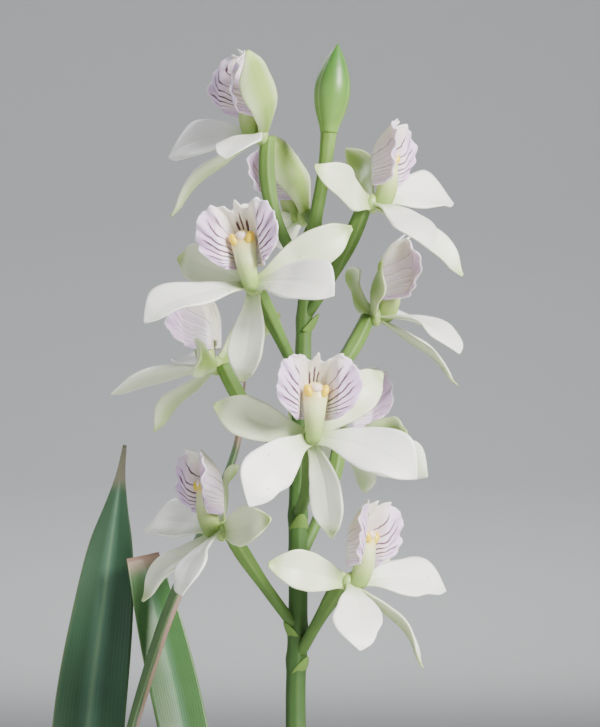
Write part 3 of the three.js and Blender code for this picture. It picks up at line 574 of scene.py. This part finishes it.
BLOOMS = [
    {
        "centre": (-8.9, -2, 363.7), "turn": -72, "tilt": 5, "lean": 0, "cup": 5.4,
        "dorsal": (-12.1, 1, -14, 1.4, 0.3, 35), "lateral_left": (0.6, 13, 12.5, -1.5, 0, 30),
        "lateral_right": (0.6, -11, 12.6, -2.4, 0, -58), "petal_left": (-13.4, 11, -3.1, 1, 0.8, 20),
        "petal_right": (-3, -14, -5.2, 1, 0, -66), "stem": (340.4, (-7.1, -1, 350.9)),
    },
    {
        "centre": (-8.1, -20, 338.1), "turn": -15, "tilt": 0, "lean": -8, "cup": 3.4,
        "dorsal": (-1.1, 5, -15.3, 1, -0.5, 0), "lateral_left": (-11.5, 12, 4.6, 1, 0.6, 0),
        "lateral_right": (16.2, 4, 9.4, 1, -0.5, 25), "petal_left": (-16.6, -3, -6.1, 1, 1, 48),
        "petal_right": (13.4, -9, -1.9, 1, -0.9, -35), "stem": (322, (-4, -8, 331)),
    },
    {
        "centre": (2.2, -22, 313.8), "turn": 10, "tilt": 0, "lean": 2, "cup": 3.4,
        "dorsal": (3, 4, -15.8, 1, -1.3, 34), "lateral_left": (-15.8, 6, 5.1, 1, -0.3, 0),
        "lateral_right": (10.9, 10, 10.1, 1, -0.4, 0), "petal_left": (-10.1, -8, -10.5, 1, 1.5, 0),
        "petal_right": (16.2, -3, -6.3, 1, -1.3, -15), "stem": (300.2, (2.2, -12, 307)),
    },
    {
        "centre": (10.3, -14, 290.1), "turn": 58, "tilt": 0, "lean": 6, "cup": 3,
        "dorsal": (8.9, -2, -13.6, 1.8, -1.5, -38), "lateral_left": (-15.5, -5, 3.4, 1, 0, 0),
        "lateral_right": (3, 15, 7, 0.7, 0, 0), "petal_left": (-0.9, -12, -9.6, 1, 0, 50),
        "petal_right": (13.7, 8, -1.9, 1, -0.9, -38), "stem": (276.2, (5.2, -6, 287.5)),
    },
    {
        "centre": (-15.2, -10, 298.2), "turn": -68, "tilt": 0, "lean": -4, "cup": 3,
        "dorsal": (-10.1, 1, -11.7, 1, 0.6, 0), "lateral_left": (5.4, 12, 10, 1, 0, 0),
        "lateral_right": (11, -12, 2.7, 1, 0.3, 0), "petal_left": (-10.7, 12, -0.3, 1, 0.6, 48),
        "petal_right": (-3.5, -12, -9.4, 1, 0, -30), "stem": (281.5, (-8.3, -6, 292)),
    },
    {
        "centre": (14.5, -6, 352), "turn": 74, "tilt": 0, "lean": 2, "cup": 3,
        "dorsal": (11.8, 0, -12.2, 1.5, 0, 20), "lateral_left": (-12.5, -11, 5.2, 1, -1.4, 0),
        "lateral_right": (-7.2, 13, 9.9, 1, 0.5, 35), "petal_left": (6.2, -12, -7.9, 1, -0.6, 64),
        "petal_right": (11.4, 12, 0.6, 1, -1.1, -42), "stem": (332.9, (7.4, -3, 342.4)),
    },
    {
        "centre": (15.4, 6, 333.5), "turn": 92, "tilt": 0, "lean": 0, "cup": 4.6,
        "dorsal": (10.8, 2, -11.9, 1, 0, 0), "lateral_left": (-2.5, -13, 8.6, -0.5, 0.6, 0),
        "lateral_right": (-7.9, 13, 8, -1, 0, 0), "petal_left": (11, -9, -6.3, 1.9, -1.4, 65),
        "petal_right": (6.9, 14, -2, 1, 0, -68), "stem": (317.9, (7.5, 3, 324.2)),
    },
    {
        "centre": (-16.4, 8, 325.2), "turn": -120, "tilt": 0, "lean": 0, "cup": 3.4,
        "dorsal": (-8.4, 7, -11.7, 1, 0.4, 15), "lateral_left": (13.3, 8, 8.7, 1, 0, 0),
        "lateral_right": (0.7, -15, 1.9, 1, 0, 0), "petal_left": (-4, 14, 0.8, 1, 0, 70),
        "petal_right": (-15.3, -6, -4.8, 0.2, -0.3, -52), "stem": (307.8, (-9.6, 4, 317.4)),
    },
    {
        "centre": (8.6, 14, 311.8), "turn": 150, "tilt": 0, "lean": 0, "cup": 3.4,
        "dorsal": (2.4, 12, -9.3, 1, 0, 0), "lateral_left": (8.9, -11, 2.2, 1, 0, 0),
        "lateral_right": (-11, 5, 6, -0.5, 0, 0), "petal_left": (13.7, 8, -6, 1, 0, 0),
        "petal_right": (-8, 12, -2.3, 1, 0, 0), "stem": (292.9, (6.2, 8, 305)),
    },
    {
        "centre": (-1.9, 14, 350.7), "turn": -105, "tilt": 0, "lean": 0, "cup": 5.6,
        "dorsal": (-8, 7, -10, 1, 0, 0), "lateral_left": (-2, 9.4, 12.2, -2.2, 0, 50),
        "lateral_right": (-2.7, -8, 13.5, -1.9, 0, -30), "petal_left": (0.5, 13, -4.5, 1, 0, 30),
        "petal_right": (-10, -6, -3.9, 1, 0, 0), "stem": (348.2, (2, 8, 351)),
    },
]


def turned(vector, axis, degrees):
    """A vector turned about an axis by the right-hand rule."""
    a = np.radians(degrees)
    along = axis * np.dot(axis, vector) * (1 - np.cos(a))
    return vector * np.cos(a) + np.cross(axis, vector) * np.sin(a) + along


def axes_of(bloom):
    """The bloom's own front, right and up: front is turned from -Y and tilted, and up leans."""
    a, b = np.radians(bloom["turn"]), np.radians(bloom["tilt"])
    front = np.array([np.sin(a) * np.cos(b), -np.cos(a) * np.cos(b), np.sin(b)])
    up = unit(np.array([0, 0, 1]) - front * front[2])
    up = turned(up, front, -bloom["lean"])
    return front, np.cross(up, front), up


def bent(start, by, end, t):
    """The parabola from start to end, drawn towards by."""
    t = t[:, None]
    return (1 - t) ** 2 * np.array(start) + 2 * t * (1 - t) * np.array(by) + t**2 * np.array(end)


stem_green, tree, shader = finish("green_stalk", 0.66, coat=0.04)
colour = mixed(tree, kept(tree, "light"), shade("#294f1f"), shade("#7ba045"))
stripes = eased(tree, kept(tree, "ridge"), 0.1, 1.0, 0.0, 0.16)
colour = mixed(tree, stripes, colour, shade("#9ab868"))
colour, cloud = mottled(tree, colour, 220.0, 0.3)
tree.links.new(colour, shader.inputs["Base Color"])
bumped(tree, shader, cloud, 0.00015)

spike_line = evenly(flowing(SPIKE, np.linspace(0, 1, 600)), 260)
t = np.linspace(0, 1, 260)
turn = np.linspace(0, 2 * np.pi, 28, endpoint=False)
swell = np.ones(260)
for bloom in BLOOMS:
    swell += NODE["swell"] * np.exp(-(((spike_line[:, 2] - bloom["stem"][0]) / NODE["reach"]) ** 2))
ridges = np.cos(7 * turn + 0.5)[None] * np.ones((260, 1))
girth = (smooth(SPIKE_RADII, t) * swell)[:, None] * (1 + 0.03 * ridges)
light = 0.08 + 0.7 * t[:, None] ** 9
parts = [solid(tube(spike_line, girth, 28, (0, 1, 0)), light=light, ridge=0.5 * ridges)]
t = np.linspace(0, 1, 44)
for bloom in BLOOMS:
    front, right, up = axes_of(bloom)
    height, by = bloom["stem"]
    root = spike_line[np.argmin(np.abs(spike_line[:, 2] - height))]
    end = np.array(bloom["centre"]) - OVARY["inset"] * front
    path = bent(root, by, end, t)
    radius = smooth([(0, OVARY["base"]), (0.35, 1), (0.75, OVARY["top"]), (1, 1.2)], t)
    swollen = np.clip((t - 0.3) / 0.3, 0, 1)[:, None]
    ribs = np.cos(6 * np.linspace(0, 2 * np.pi, 24, endpoint=False))[None]
    ringed = radius[:, None] * (1 + 0.07 * swollen * ribs)
    light = 0.22 + 0.28 * t[:, None]
    parts.append(solid(tube(path, ringed, 24, (0.31, 0.93, 0.2)), light=light, ridge=swollen * ribs))
    way = unit((np.array(by) - root) * (1, 1, 0))
    below = np.argmin(np.abs(spike_line[:, 2] - height + BRACT["below"]))
    foot = spike_line[below] + BRACT["off"] * way
    tip = foot + BRACT["out"] * way + (0, 0, BRACT["tall"])
    across = np.linspace(-1, 1, 11)
    rise = np.linspace(0, 1, 12)
    line = bent(foot, (foot + tip) / 2 + 0.35 * way, tip, rise)
    half = BRACT["half"] * (1 - rise**1.6) ** 0.8 + 0.05
    lift = 0.45 * half[:, None] * across**2
    sheet = blade(line, -way, half, lift, across)
    parts.append(shell(sheet, BRACT["thick"], light=0.6, ridge=0.0))
for part in parts:
    part[2].pop("front", None)
build("flower_stalks", parts, stem_green, "stem_green", "flower_spike")

h, s = np.meshgrid(np.linspace(0, 1, 40), np.linspace(-1, 1, 30), indexing="ij")
reach = smooth([(0, 64), (0.6, 52), (0.85, 30), (1, 6)], h) + 3 * np.sin(9 * h)
around = np.radians(reach * s + SPATHE["faces"])
heights = SPIKE[0][2] + SPATHE["height"] * h
middle = np.stack([np.interp(heights, spike_line[:, 2], spike_line[:, k]) for k in (0, 1)], -1)
radius = SPATHE["radius"] + 0.5 * h**3
x, y = middle[..., 0] + radius * np.cos(around), middle[..., 1] + radius * np.sin(around)
wrap = shell(np.stack([x, y, heights], -1)[:, ::-1], SPATHE["thick"], along=h)
build("spike_sheath", [wrap], papery, "sheath_tan", "spathe")

# Flowers
# Ten waxy cream flowers, each held upside down so that its lip is uppermost. Three sepals and
# two broader, whiter petals spread from a small green seat, all with green at foot and tip. The
# sepals' greyer green is partly their own colour and partly painted shade.
# The lip is a hooded lilac shell with frilled margins and dark purple lines, and the thick
# column stands before it, green below, with a pinkish cap between two golden teeth.
CORE = {"radius": 1.7, "depth": -2.6, "half_depth": 1.05}
TEPAL_WIDTH = {"dorsal": 5.6, "lateral": 6.4, "petal": 8}
SEPAL_SHAPE = [
    (0, 0.36), (0.16, 0.46), (0.36, 0.8), (0.55, 1),
    (0.74, 0.93), (0.88, 0.6), (0.96, 0.27), (1, 0.1),
]
PETAL_SHAPE = [
    (0, 0.3), (0.16, 0.36), (0.36, 0.72), (0.54, 0.95),
    (0.7, 1), (0.83, 0.8), (0.93, 0.42), (1, 0.03),
]
SEPAL = {"seat": -0.4, "cup": 0.3, "hook": 0.13, "shape": SEPAL_SHAPE}
PETAL = {"seat": 0.4, "cup": 0.12, "hook": 0.05, "shape": PETAL_SHAPE}
SHOULDER = {"size": 0.24, "at": 0.78, "reach": 0.16}
LIP = {"origin": 3, "height": 14, "hood": 4.8, "back": -2.15}
LIP_SIDES = {"from": 1.9, "turn": 1.6, "extra": 1, "fullest": 7.5, "flare": 0.25}
LIP_REACH = [
    (0, 10.6), (6, 9.2), (14, 10.4), (24, 10.9), (36, 10.4),
    (50, 8.9), (64, 7), (78, 4.4), (94, 2.6),
]
LIP_LINES = {"wander": 7.0, "side_from": 20.0, "side_step": 8.2, "middle_step": 5.6}
COLUMN = {"foot": -1.2, "height": 8.8, "girth": 1.9, "depth": -0.1, "foot_back": 1.7}
COLUMN_GIRTH = [(0, 0.62), (0.3, 0.76), (0.6, 0.95), (0.85, 1.05), (1, 0.7)]
# The two teeth and the cap: right, up, front, half of width, height and depth, and tone
COLUMN_LOBES = [
    (-1.3, 7.4, 0.7, 0.75, 1.1, 0.95, 0.79),
    (1.3, 7.4, 0.7, 0.75, 1.1, 0.95, 0.79),
    (0, 7.9, 0.8, 0.95, 0.75, 0.85, 0.97),
]
TEPALS = ["dorsal", "lateral_left", "lateral_right", "petal_left", "petal_right"]

waxy, tree, shader = finish("waxy_tepal", 0.42, coat=0.08, subsurface=0.4)
across, along, front, white = (kept(tree, key) for key in ("across", "along", "front", "white"))
# Sepals (white 0) take a greyer green than the petals: partly their own greener colour, partly painted
# shade
colour = mixed(tree, white, shade("#dde7c9"), shade("#fafbf6"))
foot = eased(tree, along, 0.0, 0.4, 0.85, 0.0)
tip = eased(tree, along, 0.82, 0.98, 0.0, 0.68)
tip = times(tree, tip, eased(tree, white, 0.5, 1.0, 1.0, 0.1))
keel = eased(tree, maths(tree, "ABSOLUTE", across), 0.2, 0.95, 0.95, 0.4)
behind = times(tree, maths(tree, "SUBTRACT", 1.0, front), keel)
behind = times(tree, behind, eased(tree, white, 0.0, 1.0, 1.0, 0.45))
greening = maths(tree, "MAXIMUM", maths(tree, "MAXIMUM", foot, tip), behind)
colour = mixed(tree, greening, colour, shade("#93b352"))
veins = maths(tree, "SINE", times(tree, across, 27.0))
colour = mixed(tree, eased(tree, veins, 0.3, 1.3, 0.0, 0.07), colour, shade("#bccb94"))
place = join(tree, "ShaderNodeTexCoord").outputs["Object"]
dots = join(tree, "ShaderNodeTexVoronoi", {"Vector": place, "Scale": 620.0})
drawn = join(tree, "ShaderNodeSeparateColor", {0: dots.outputs["Color"]}).outputs[0]
rare = eased(tree, drawn, 0.93, 0.96)
speck = times(tree, eased(tree, dots.outputs["Distance"], 0.08, 0.16, 0.5, 0.0), rare)
colour = mixed(tree, speck, colour, shade("#6d6a4c"))
colour, cloud = mottled(tree, colour, 160.0, 0.08)
tree.links.new(colour, shader.inputs["Base Color"])
height = maths(tree, "ADD", times(tree, veins, 0.06), cloud)
bumped(tree, shader, height, 0.0001)

striped, tree, shader = finish("striped_lip", 0.5, subsurface=0.5)
fan, spread, out_to, front = (kept(tree, key) for key in ("fan", "spread", "out", "front"))
place = join(tree, "ShaderNodeTexCoord").outputs["Object"]
waver_in = {"Vector": place, "Scale": 420.0, "Detail": 2.0}
waver = join(tree, "ShaderNodeTexNoise", waver_in).outputs[0]
centred = maths(tree, "SUBTRACT", waver, 0.5)
bent_fan = maths(tree, "ADD", fan, times(tree, centred, LIP_LINES["wander"]))
sideways = maths(tree, "ABSOLUTE", bent_fan)


def line_spacing(tree, value, width):
    """How far the value is from the nearest line, in lines, and across the lip in mm."""
    step = maths(tree, "DIVIDE", value, width)
    off = maths(tree, "ABSOLUTE", maths(tree, "SUBTRACT", maths(tree, "FRACT", step), 0.5))
    return off, times(tree, times(tree, off, width), spread)


past_middle = maths(tree, "SUBTRACT", sideways, LIP_LINES["side_from"])
off_line, line_gap = line_spacing(tree, past_middle, LIP_LINES["side_step"])
thin = eased(tree, line_gap, 0.07, 0.2, 1.0, 0.0)
side_line = maths(tree, "MINIMUM", thin, eased(tree, off_line, 0.11, 0.21, 1.0, 0.0))
within = times(tree, eased(tree, sideways, 19.0, 21.0), eased(tree, sideways, 78.0, 84.0, 1.0, 0.0))
stretch = times(tree, eased(tree, out_to, 0.3, 0.42), eased(tree, out_to, 0.76, 0.92, 1.0, 0.0))
side_line = times(tree, times(tree, side_line, within), stretch)
above_zero = maths(tree, "ADD", bent_fan, 60.0)
mid_gap = line_spacing(tree, above_zero, LIP_LINES["middle_step"])[1]
inside = eased(tree, sideways, 7.5, 9.0, 1.0, 0.0)
mid_line = times(tree, eased(tree, mid_gap, 0.16, 0.3, 1.0, 0.0), inside)
mid_span = times(tree, eased(tree, out_to, 0.52, 0.6), eased(tree, out_to, 0.78, 0.86, 1.0, 0.0))
line = maths(tree, "MAXIMUM", side_line, times(tree, mid_line, mid_span))
line = times(tree, line, eased(tree, front, 0.0, 1.0, 0.4, 0.95))
lilac = mixed(tree, eased(tree, out_to, 0.2, 0.85), shade("#f8edf3"), shade("#dabde7"))
colour = mixed(tree, eased(tree, sideways, 10.0, 34.0, 0.85, 0.0), lilac, shade("#f3f2d9"))
colour = mixed(tree, eased(tree, out_to, 0.95, 1.0, 0.0, 0.5), colour, shade("#fbf5fb"))
colour = mottled(tree, colour, 300.0, 0.14)[0]
colour = mixed(tree, line, colour, shade("#4c1f3a"))
tree.links.new(colour, shader.inputs["Base Color"])
puckers = maths(tree, "SINE", times(tree, fan, 0.766))
bumped(tree, shader, maths(tree, "ADD", times(tree, puckers, 0.3), waver), 0.0002)

fleshy, tree, shader = finish("fleshy_column", 0.35, coat=0.2, subsurface=0.2)
# The darkest greens at the very foot, where the column meets the tepals, are partly its own green and
# partly painted shade
stops = [
    (0, "#7d9c4a"), (0.1, "#90ad5a"), (0.2, "#b1c67c"), (0.36, "#d9e0ab"),
    (0.44, "#e9dc92"), (0.5, "#ecd268"), (0.6, "#f2e6bc"), (0.72, "#ebca1c"),
    (0.86, "#ebca1c"), (0.9, "#f4dfd8"), (1, "#eed6cc"),
]
colour, cloud = mottled(tree, ramp(tree, kept(tree, "tone"), stops), 500.0, 0.2)
tree.links.new(colour, shader.inputs["Base Color"])
bumped(tree, shader, cloud, 0.0001)


def at(bloom, x, z, depth):
    """Points x to the right, z up and depth in front of the bloom's centre."""
    front, right, up = axes_of(bloom)
    x, z, depth = (np.asarray(value, float)[..., None] for value in (x, z, depth))
    return np.array(bloom["centre"]) + x * right + z * up + depth * front


def tepal(bloom, kind, seed):
    """One tepal: a parabola from the seat to its tip, bowed towards the face and swept to one
    side. Its half-width follows the sepal's or petal's shape, the margins wave a little and
    rise by the square of the distance across, and a keel runs down the back."""
    x, y, z, bow, sweep, twist = bloom[kind]
    petal = kind.startswith("petal")
    front, right, up = axes_of(bloom)
    centre = np.array(bloom["centre"])
    form = PETAL if petal else SEPAL
    base = centre + front * (CORE["depth"] + form["seat"])
    tip = centre + (x, y, z)
    way = unit(tip - base)
    face = turned(unit(front - np.dot(front, way) * way), way, twist)
    by = (base + tip) / 2 + 2 * bow * face + 2 * sweep * np.cross(way, face)
    t = np.linspace(0, 1, 46)
    across = np.linspace(-1, 1, 21)
    width = TEPAL_WIDTH["petal" if petal else kind.split("_")[0]]
    half = smooth(form["shape"], t) * width / 2
    upper = {"petal_left": 1, "petal_right": -1}.get(kind, 0)
    near = np.exp(-(((t - SHOULDER["at"]) / SHOULDER["reach"]) ** 2))[:, None]
    bulge = SHOULDER["size"] * upper * near * np.abs(across)
    wave = 0.02 * np.sin(25 * t + seed)[:, None] * np.clip(2 * t - 0.7, 0, 1)[:, None]
    frill = 1 + bulge * np.sign(across) + wave
    hook = np.sin(np.pi * np.clip((t - 0.42) / 0.58, 0, 1)) ** 1.3 * width * form["hook"]
    lift = (form["cup"] * half)[:, None] * across**2 + hook[:, None]
    lift = lift + (0.1 * half * np.sin(8 * t + 2.1 * seed))[:, None] * np.abs(across) ** 3
    crease = np.exp(-((across / 0.1) ** 2)) * np.sin(np.pi * np.clip(t * 1.1, 0, 1))[:, None]
    lift = lift - 0.1 * crease
    if not petal:
        lift = lift + 0.6 * np.clip((t - 0.87) / 0.13, 0, 1)[:, None] ** 2
    sheet = blade(bent(base, by, tip, t), face, half, lift, across * frill)
    thick = (0.62 - 0.34 * across**4)[None] * np.clip(8 * (1 - t), 0.4, 1)[:, None]
    # The lateral sepals get the greyest green, partly painted shade; the dorsal sepal sits halfway
    white = {"dorsal": 0.5, "petal_left": 1.0, "petal_right": 1.0}.get(kind, 0.0)
    values = {"across": across[None], "along": t[:, None], "white": white}
    return shell(sheet, thick, **values)


fan = np.linspace(-94, 94, 121)
rows = np.linspace(0.14, 1, 34)[:, None]
lip_reach = smooth(LIP_REACH, np.abs(fan))
for number, bloom in enumerate(BLOOMS, 1):
    name = f"{number:02d}"
    parts = [tepal(bloom, kind, 5 * number + k) for k, kind in enumerate(TEPALS)]
    rise = np.linspace(0, np.pi, 13)[:, None]
    turn = np.linspace(0, 2 * np.pi, 28, endpoint=False)[None]
    wide = CORE["radius"] * np.sin(rise) ** 0.8
    deep = CORE["depth"] - np.cos(rise) * CORE["half_depth"] + 0 * turn
    dome = at(bloom, wide * np.cos(turn), wide * np.sin(turn), deep)
    seat = solid(dome[:, ::-1], across=0.6, along=0.0, white=0.0, front=1.0)
    build(f"waxy_tepals_{name}", [*parts, seat], waxy, "tepal_wax", f"bloom_{name}_tepals")

    jag = 0.01 * np.sin(0.61 * fan + number) * (1 + np.sin(0.13 * fan + 2 * number))
    jag = jag + 0.007 * np.sin(1.37 * fan + 2 * number) + 0.012 * np.sin(0.23 * fan + number)
    reach = lip_reach * (1 + jag * rows**3)
    x = rows * reach * np.sin(np.radians(fan))
    z = LIP["origin"] + rows * reach * np.cos(np.radians(fan))
    hood = LIP["hood"] * np.clip(2 * z / LIP["height"] - 1, 0, None) ** 2
    beyond = np.abs(x) - LIP_SIDES["from"]
    turned_by = np.clip(beyond / LIP_SIDES["turn"], 0, 1)
    fall = np.where(z > LIP_SIDES["fullest"], 0.75, 0.3) * ((z - LIP_SIDES["fullest"]) / 5) ** 2
    side = (bloom["cup"] + LIP_SIDES["extra"]) * np.clip(1 - fall, 0.15, None)
    depth = LIP["back"] + hood + side * turned_by**2 * (3 - 2 * turned_by)
    depth = depth + LIP_SIDES["flare"] * np.clip(beyond - LIP_SIDES["turn"], 0, None)
    ruffle = np.sin(0.21 * fan + 1.7 * number) + 0.9 * np.sin(0.47 * fan + 3.1 * number)
    depth = depth + 0.3 * rows**4 * ruffle
    sheet = at(bloom, x, z, depth)
    thick = 0.5 - 0.25 * rows**3 + 0 * fan
    spread = np.linalg.norm(np.gradient(sheet, fan, axis=1), axis=-1)
    lip = shell(sheet, thick, fan=fan[None], out=rows, spread=spread)
    build(f"striped_lip_{name}", [lip], striped, "lip_lilac", f"bloom_{name}_lip")

    t = np.linspace(0, 1, 30)[:, None]
    turn = np.linspace(0, 2 * np.pi, 24, endpoint=False)[None]
    low_end = np.sqrt(1 - np.clip(1 - t / 0.08, 0, 1) ** 2)
    ends = low_end * np.sqrt(1 - 0.8 * np.clip((t - 0.86) / 0.14, 0, 1) ** 2)
    girth = COLUMN["girth"] * smooth(COLUMN_GIRTH, t) * np.maximum(ends, 0.05)
    height = COLUMN["foot"] + (COLUMN["height"] - COLUMN["foot"]) * t + 0 * turn
    middle = COLUMN["depth"] - COLUMN["foot_back"] * np.clip(1 - t / 0.5, 0, 1) ** 2
    depth = middle - girth * (1.5 - 0.95 * t) * np.sin(turn)
    club = at(bloom, girth * np.cos(turn), height, depth)
    parts = [solid(club[:, ::-1], tone=0.55 * t)]
    lobe = np.linspace(0, np.pi, 11)[:, None]
    for x, z, depth, wide, tall, deep, tone_at in COLUMN_LOBES:
        ball_x = x * (1 - 0.22 * np.cos(lobe)) + wide * np.sin(lobe) * np.cos(turn)
        ball_z = z - tall * np.cos(lobe) + 0 * turn
        ball = at(bloom, ball_x, ball_z, depth - deep * np.sin(lobe) * np.sin(turn))
        parts.append(solid(ball[:, ::-1], tone=tone_at))
    build(f"column_{name}", parts, fleshy, "column_green", f"bloom_{name}_column")

# Bud
# The last flower at the spike's tip is still shut: three sepals meet edge to edge in a pointed
# egg, green at its foot and sides and paler along its seams.
BUD = {"foot": (4.78, 0, 364), "by": (5.4, 0, 372), "tip": (6.3, 0, 378.9), "radius": 3}
BUD_SHAPE = [
    (0, 0.48), (0.05, 0.53), (0.1, 0.61), (0.18, 0.76), (0.34, 0.96),
    (0.48, 1), (0.67, 0.82), (0.86, 0.43), (1, 0.03),
]
bud_green, tree, shader = finish("shut_bud", 0.4, coat=0.15, subsurface=0.15)
colour = mixed(tree, eased(tree, kept(tree, "along"), 0.0, 0.9), shade("#6f9a42"), shade("#487a33"))
colour = mixed(tree, eased(tree, kept(tree, "seam"), 0.5, 1.0, 0.0, 0.4), colour, shade("#b9d08f"))
colour, cloud = mottled(tree, colour, 180.0, 0.25)
tree.links.new(colour, shader.inputs["Base Color"])
bumped(tree, shader, cloud, 0.0002)

t = np.linspace(0, 1, 40)
turn = np.linspace(0, 2 * np.pi, 48, endpoint=False)[None]
seam = np.abs(np.cos(1.5 * turn + 0.6)) ** 0.5
line = bent(BUD["foot"], BUD["by"], BUD["tip"], t)
girth = BUD["radius"] * smooth(BUD_SHAPE, t)[:, None] * (0.93 + 0.08 * seam)
egg = solid(tube(line, girth, 48, (0, 1, 0)), along=t[:, None], seam=1 - seam)
build("flower_bud", [egg], bud_green, "bud_green", "bud")

# Floor, lights and camera
# A pale studio floor that curves up all round far from the plant, three soft lamps for the
# plant and one for the wall behind it, and a level camera in front of the flowers. In metres.
FLOOR = {"radius": 5, "wall": 3, "curve": 2.4, "around": 96}
PLANT_AIM = (0, 0, 0.3)
WALL_AIM = (0, 5, 0.5)
LAMPS = [
    ("key_lamp", (0.62, -0.6, 0.75), PLANT_AIM, 0.4, 30.0, "#fffaf2"),
    ("fill_lamp", (-0.8, -0.7, 0.45), PLANT_AIM, 0.7, 2.6, "#eef5ee"),
    ("rim_lamp", (-0.45, 0.6, 0.85), PLANT_AIM, 0.4, 3.0, "#ffffff"),
    ("backdrop_lamp", (0, 2.2, 1.2), WALL_AIM, 1.2, 16.0, "#ffffff"),
]
PHOTO = {"focus": 2700, "tall": 727}
backdrop = bpy.data.materials.new("pale_paper")
backdrop.use_nodes = True
shader = backdrop.node_tree.nodes["Principled BSDF"]
shader.inputs["Base Color"].default_value = shade("#e6e7e8")
shader.inputs["Roughness"].default_value = 0.95
edge, wall = FLOOR["radius"], FLOOR["wall"]
profile = rounded([(0.001, 0), (edge, 0), (edge, wall)], FLOOR["curve"])
floor_points = revolved(profile, FLOOR["around"])
corner = np.arange(floor_points.size // 3).reshape(-1, FLOOR["around"])
beside = np.roll(corner, -1, axis=1)
floor_faces = np.stack([corner[:-1], beside[:-1], beside[1:], corner[1:]], -1).reshape(-1, 4)
mesh = bpy.data.meshes.new("floor")
mesh.from_pydata(floor_points.reshape(-1, 3).tolist(), [], floor_faces.tolist())
mesh.polygons.foreach_set("use_smooth", np.ones(len(floor_faces), bool))
mesh.materials.append(backdrop)
floor = bpy.data.objects.new("floor", mesh)
bpy.context.scene.collection.objects.link(floor)

world = bpy.data.worlds.new("studio")
world.use_nodes = True
world.node_tree.nodes["Background"].inputs[0].default_value = shade("#dfe4ea")
world.node_tree.nodes["Background"].inputs[1].default_value = 0.3
bpy.context.scene.world = world
for name, spot, aim, size, power, colour in LAMPS:
    lamp = bpy.data.lights.new(name, "AREA")
    lamp.shape = "DISK"
    lamp.size = size
    lamp.energy = power
    lamp.color = shade(colour)[:3]
    holder = bpy.data.objects.new(name, lamp)
    bpy.context.scene.collection.objects.link(holder)
    holder.location = spot
    way = Vector(aim) - Vector(spot)
    holder.rotation_euler = way.to_track_quat("-Z", "Y").to_euler()

lens = bpy.data.cameras.new("camera")
lens.lens = lens.sensor_width * PHOTO["focus"] / PHOTO["tall"]
lens.clip_start = 0.01
camera = bpy.data.objects.new("camera", lens)
camera.location = (0, -0.45, 0.3256)
camera.rotation_euler = (np.pi / 2, 0, 0)
bpy.context.scene.collection.objects.link(camera)
bpy.context.scene.camera = camera
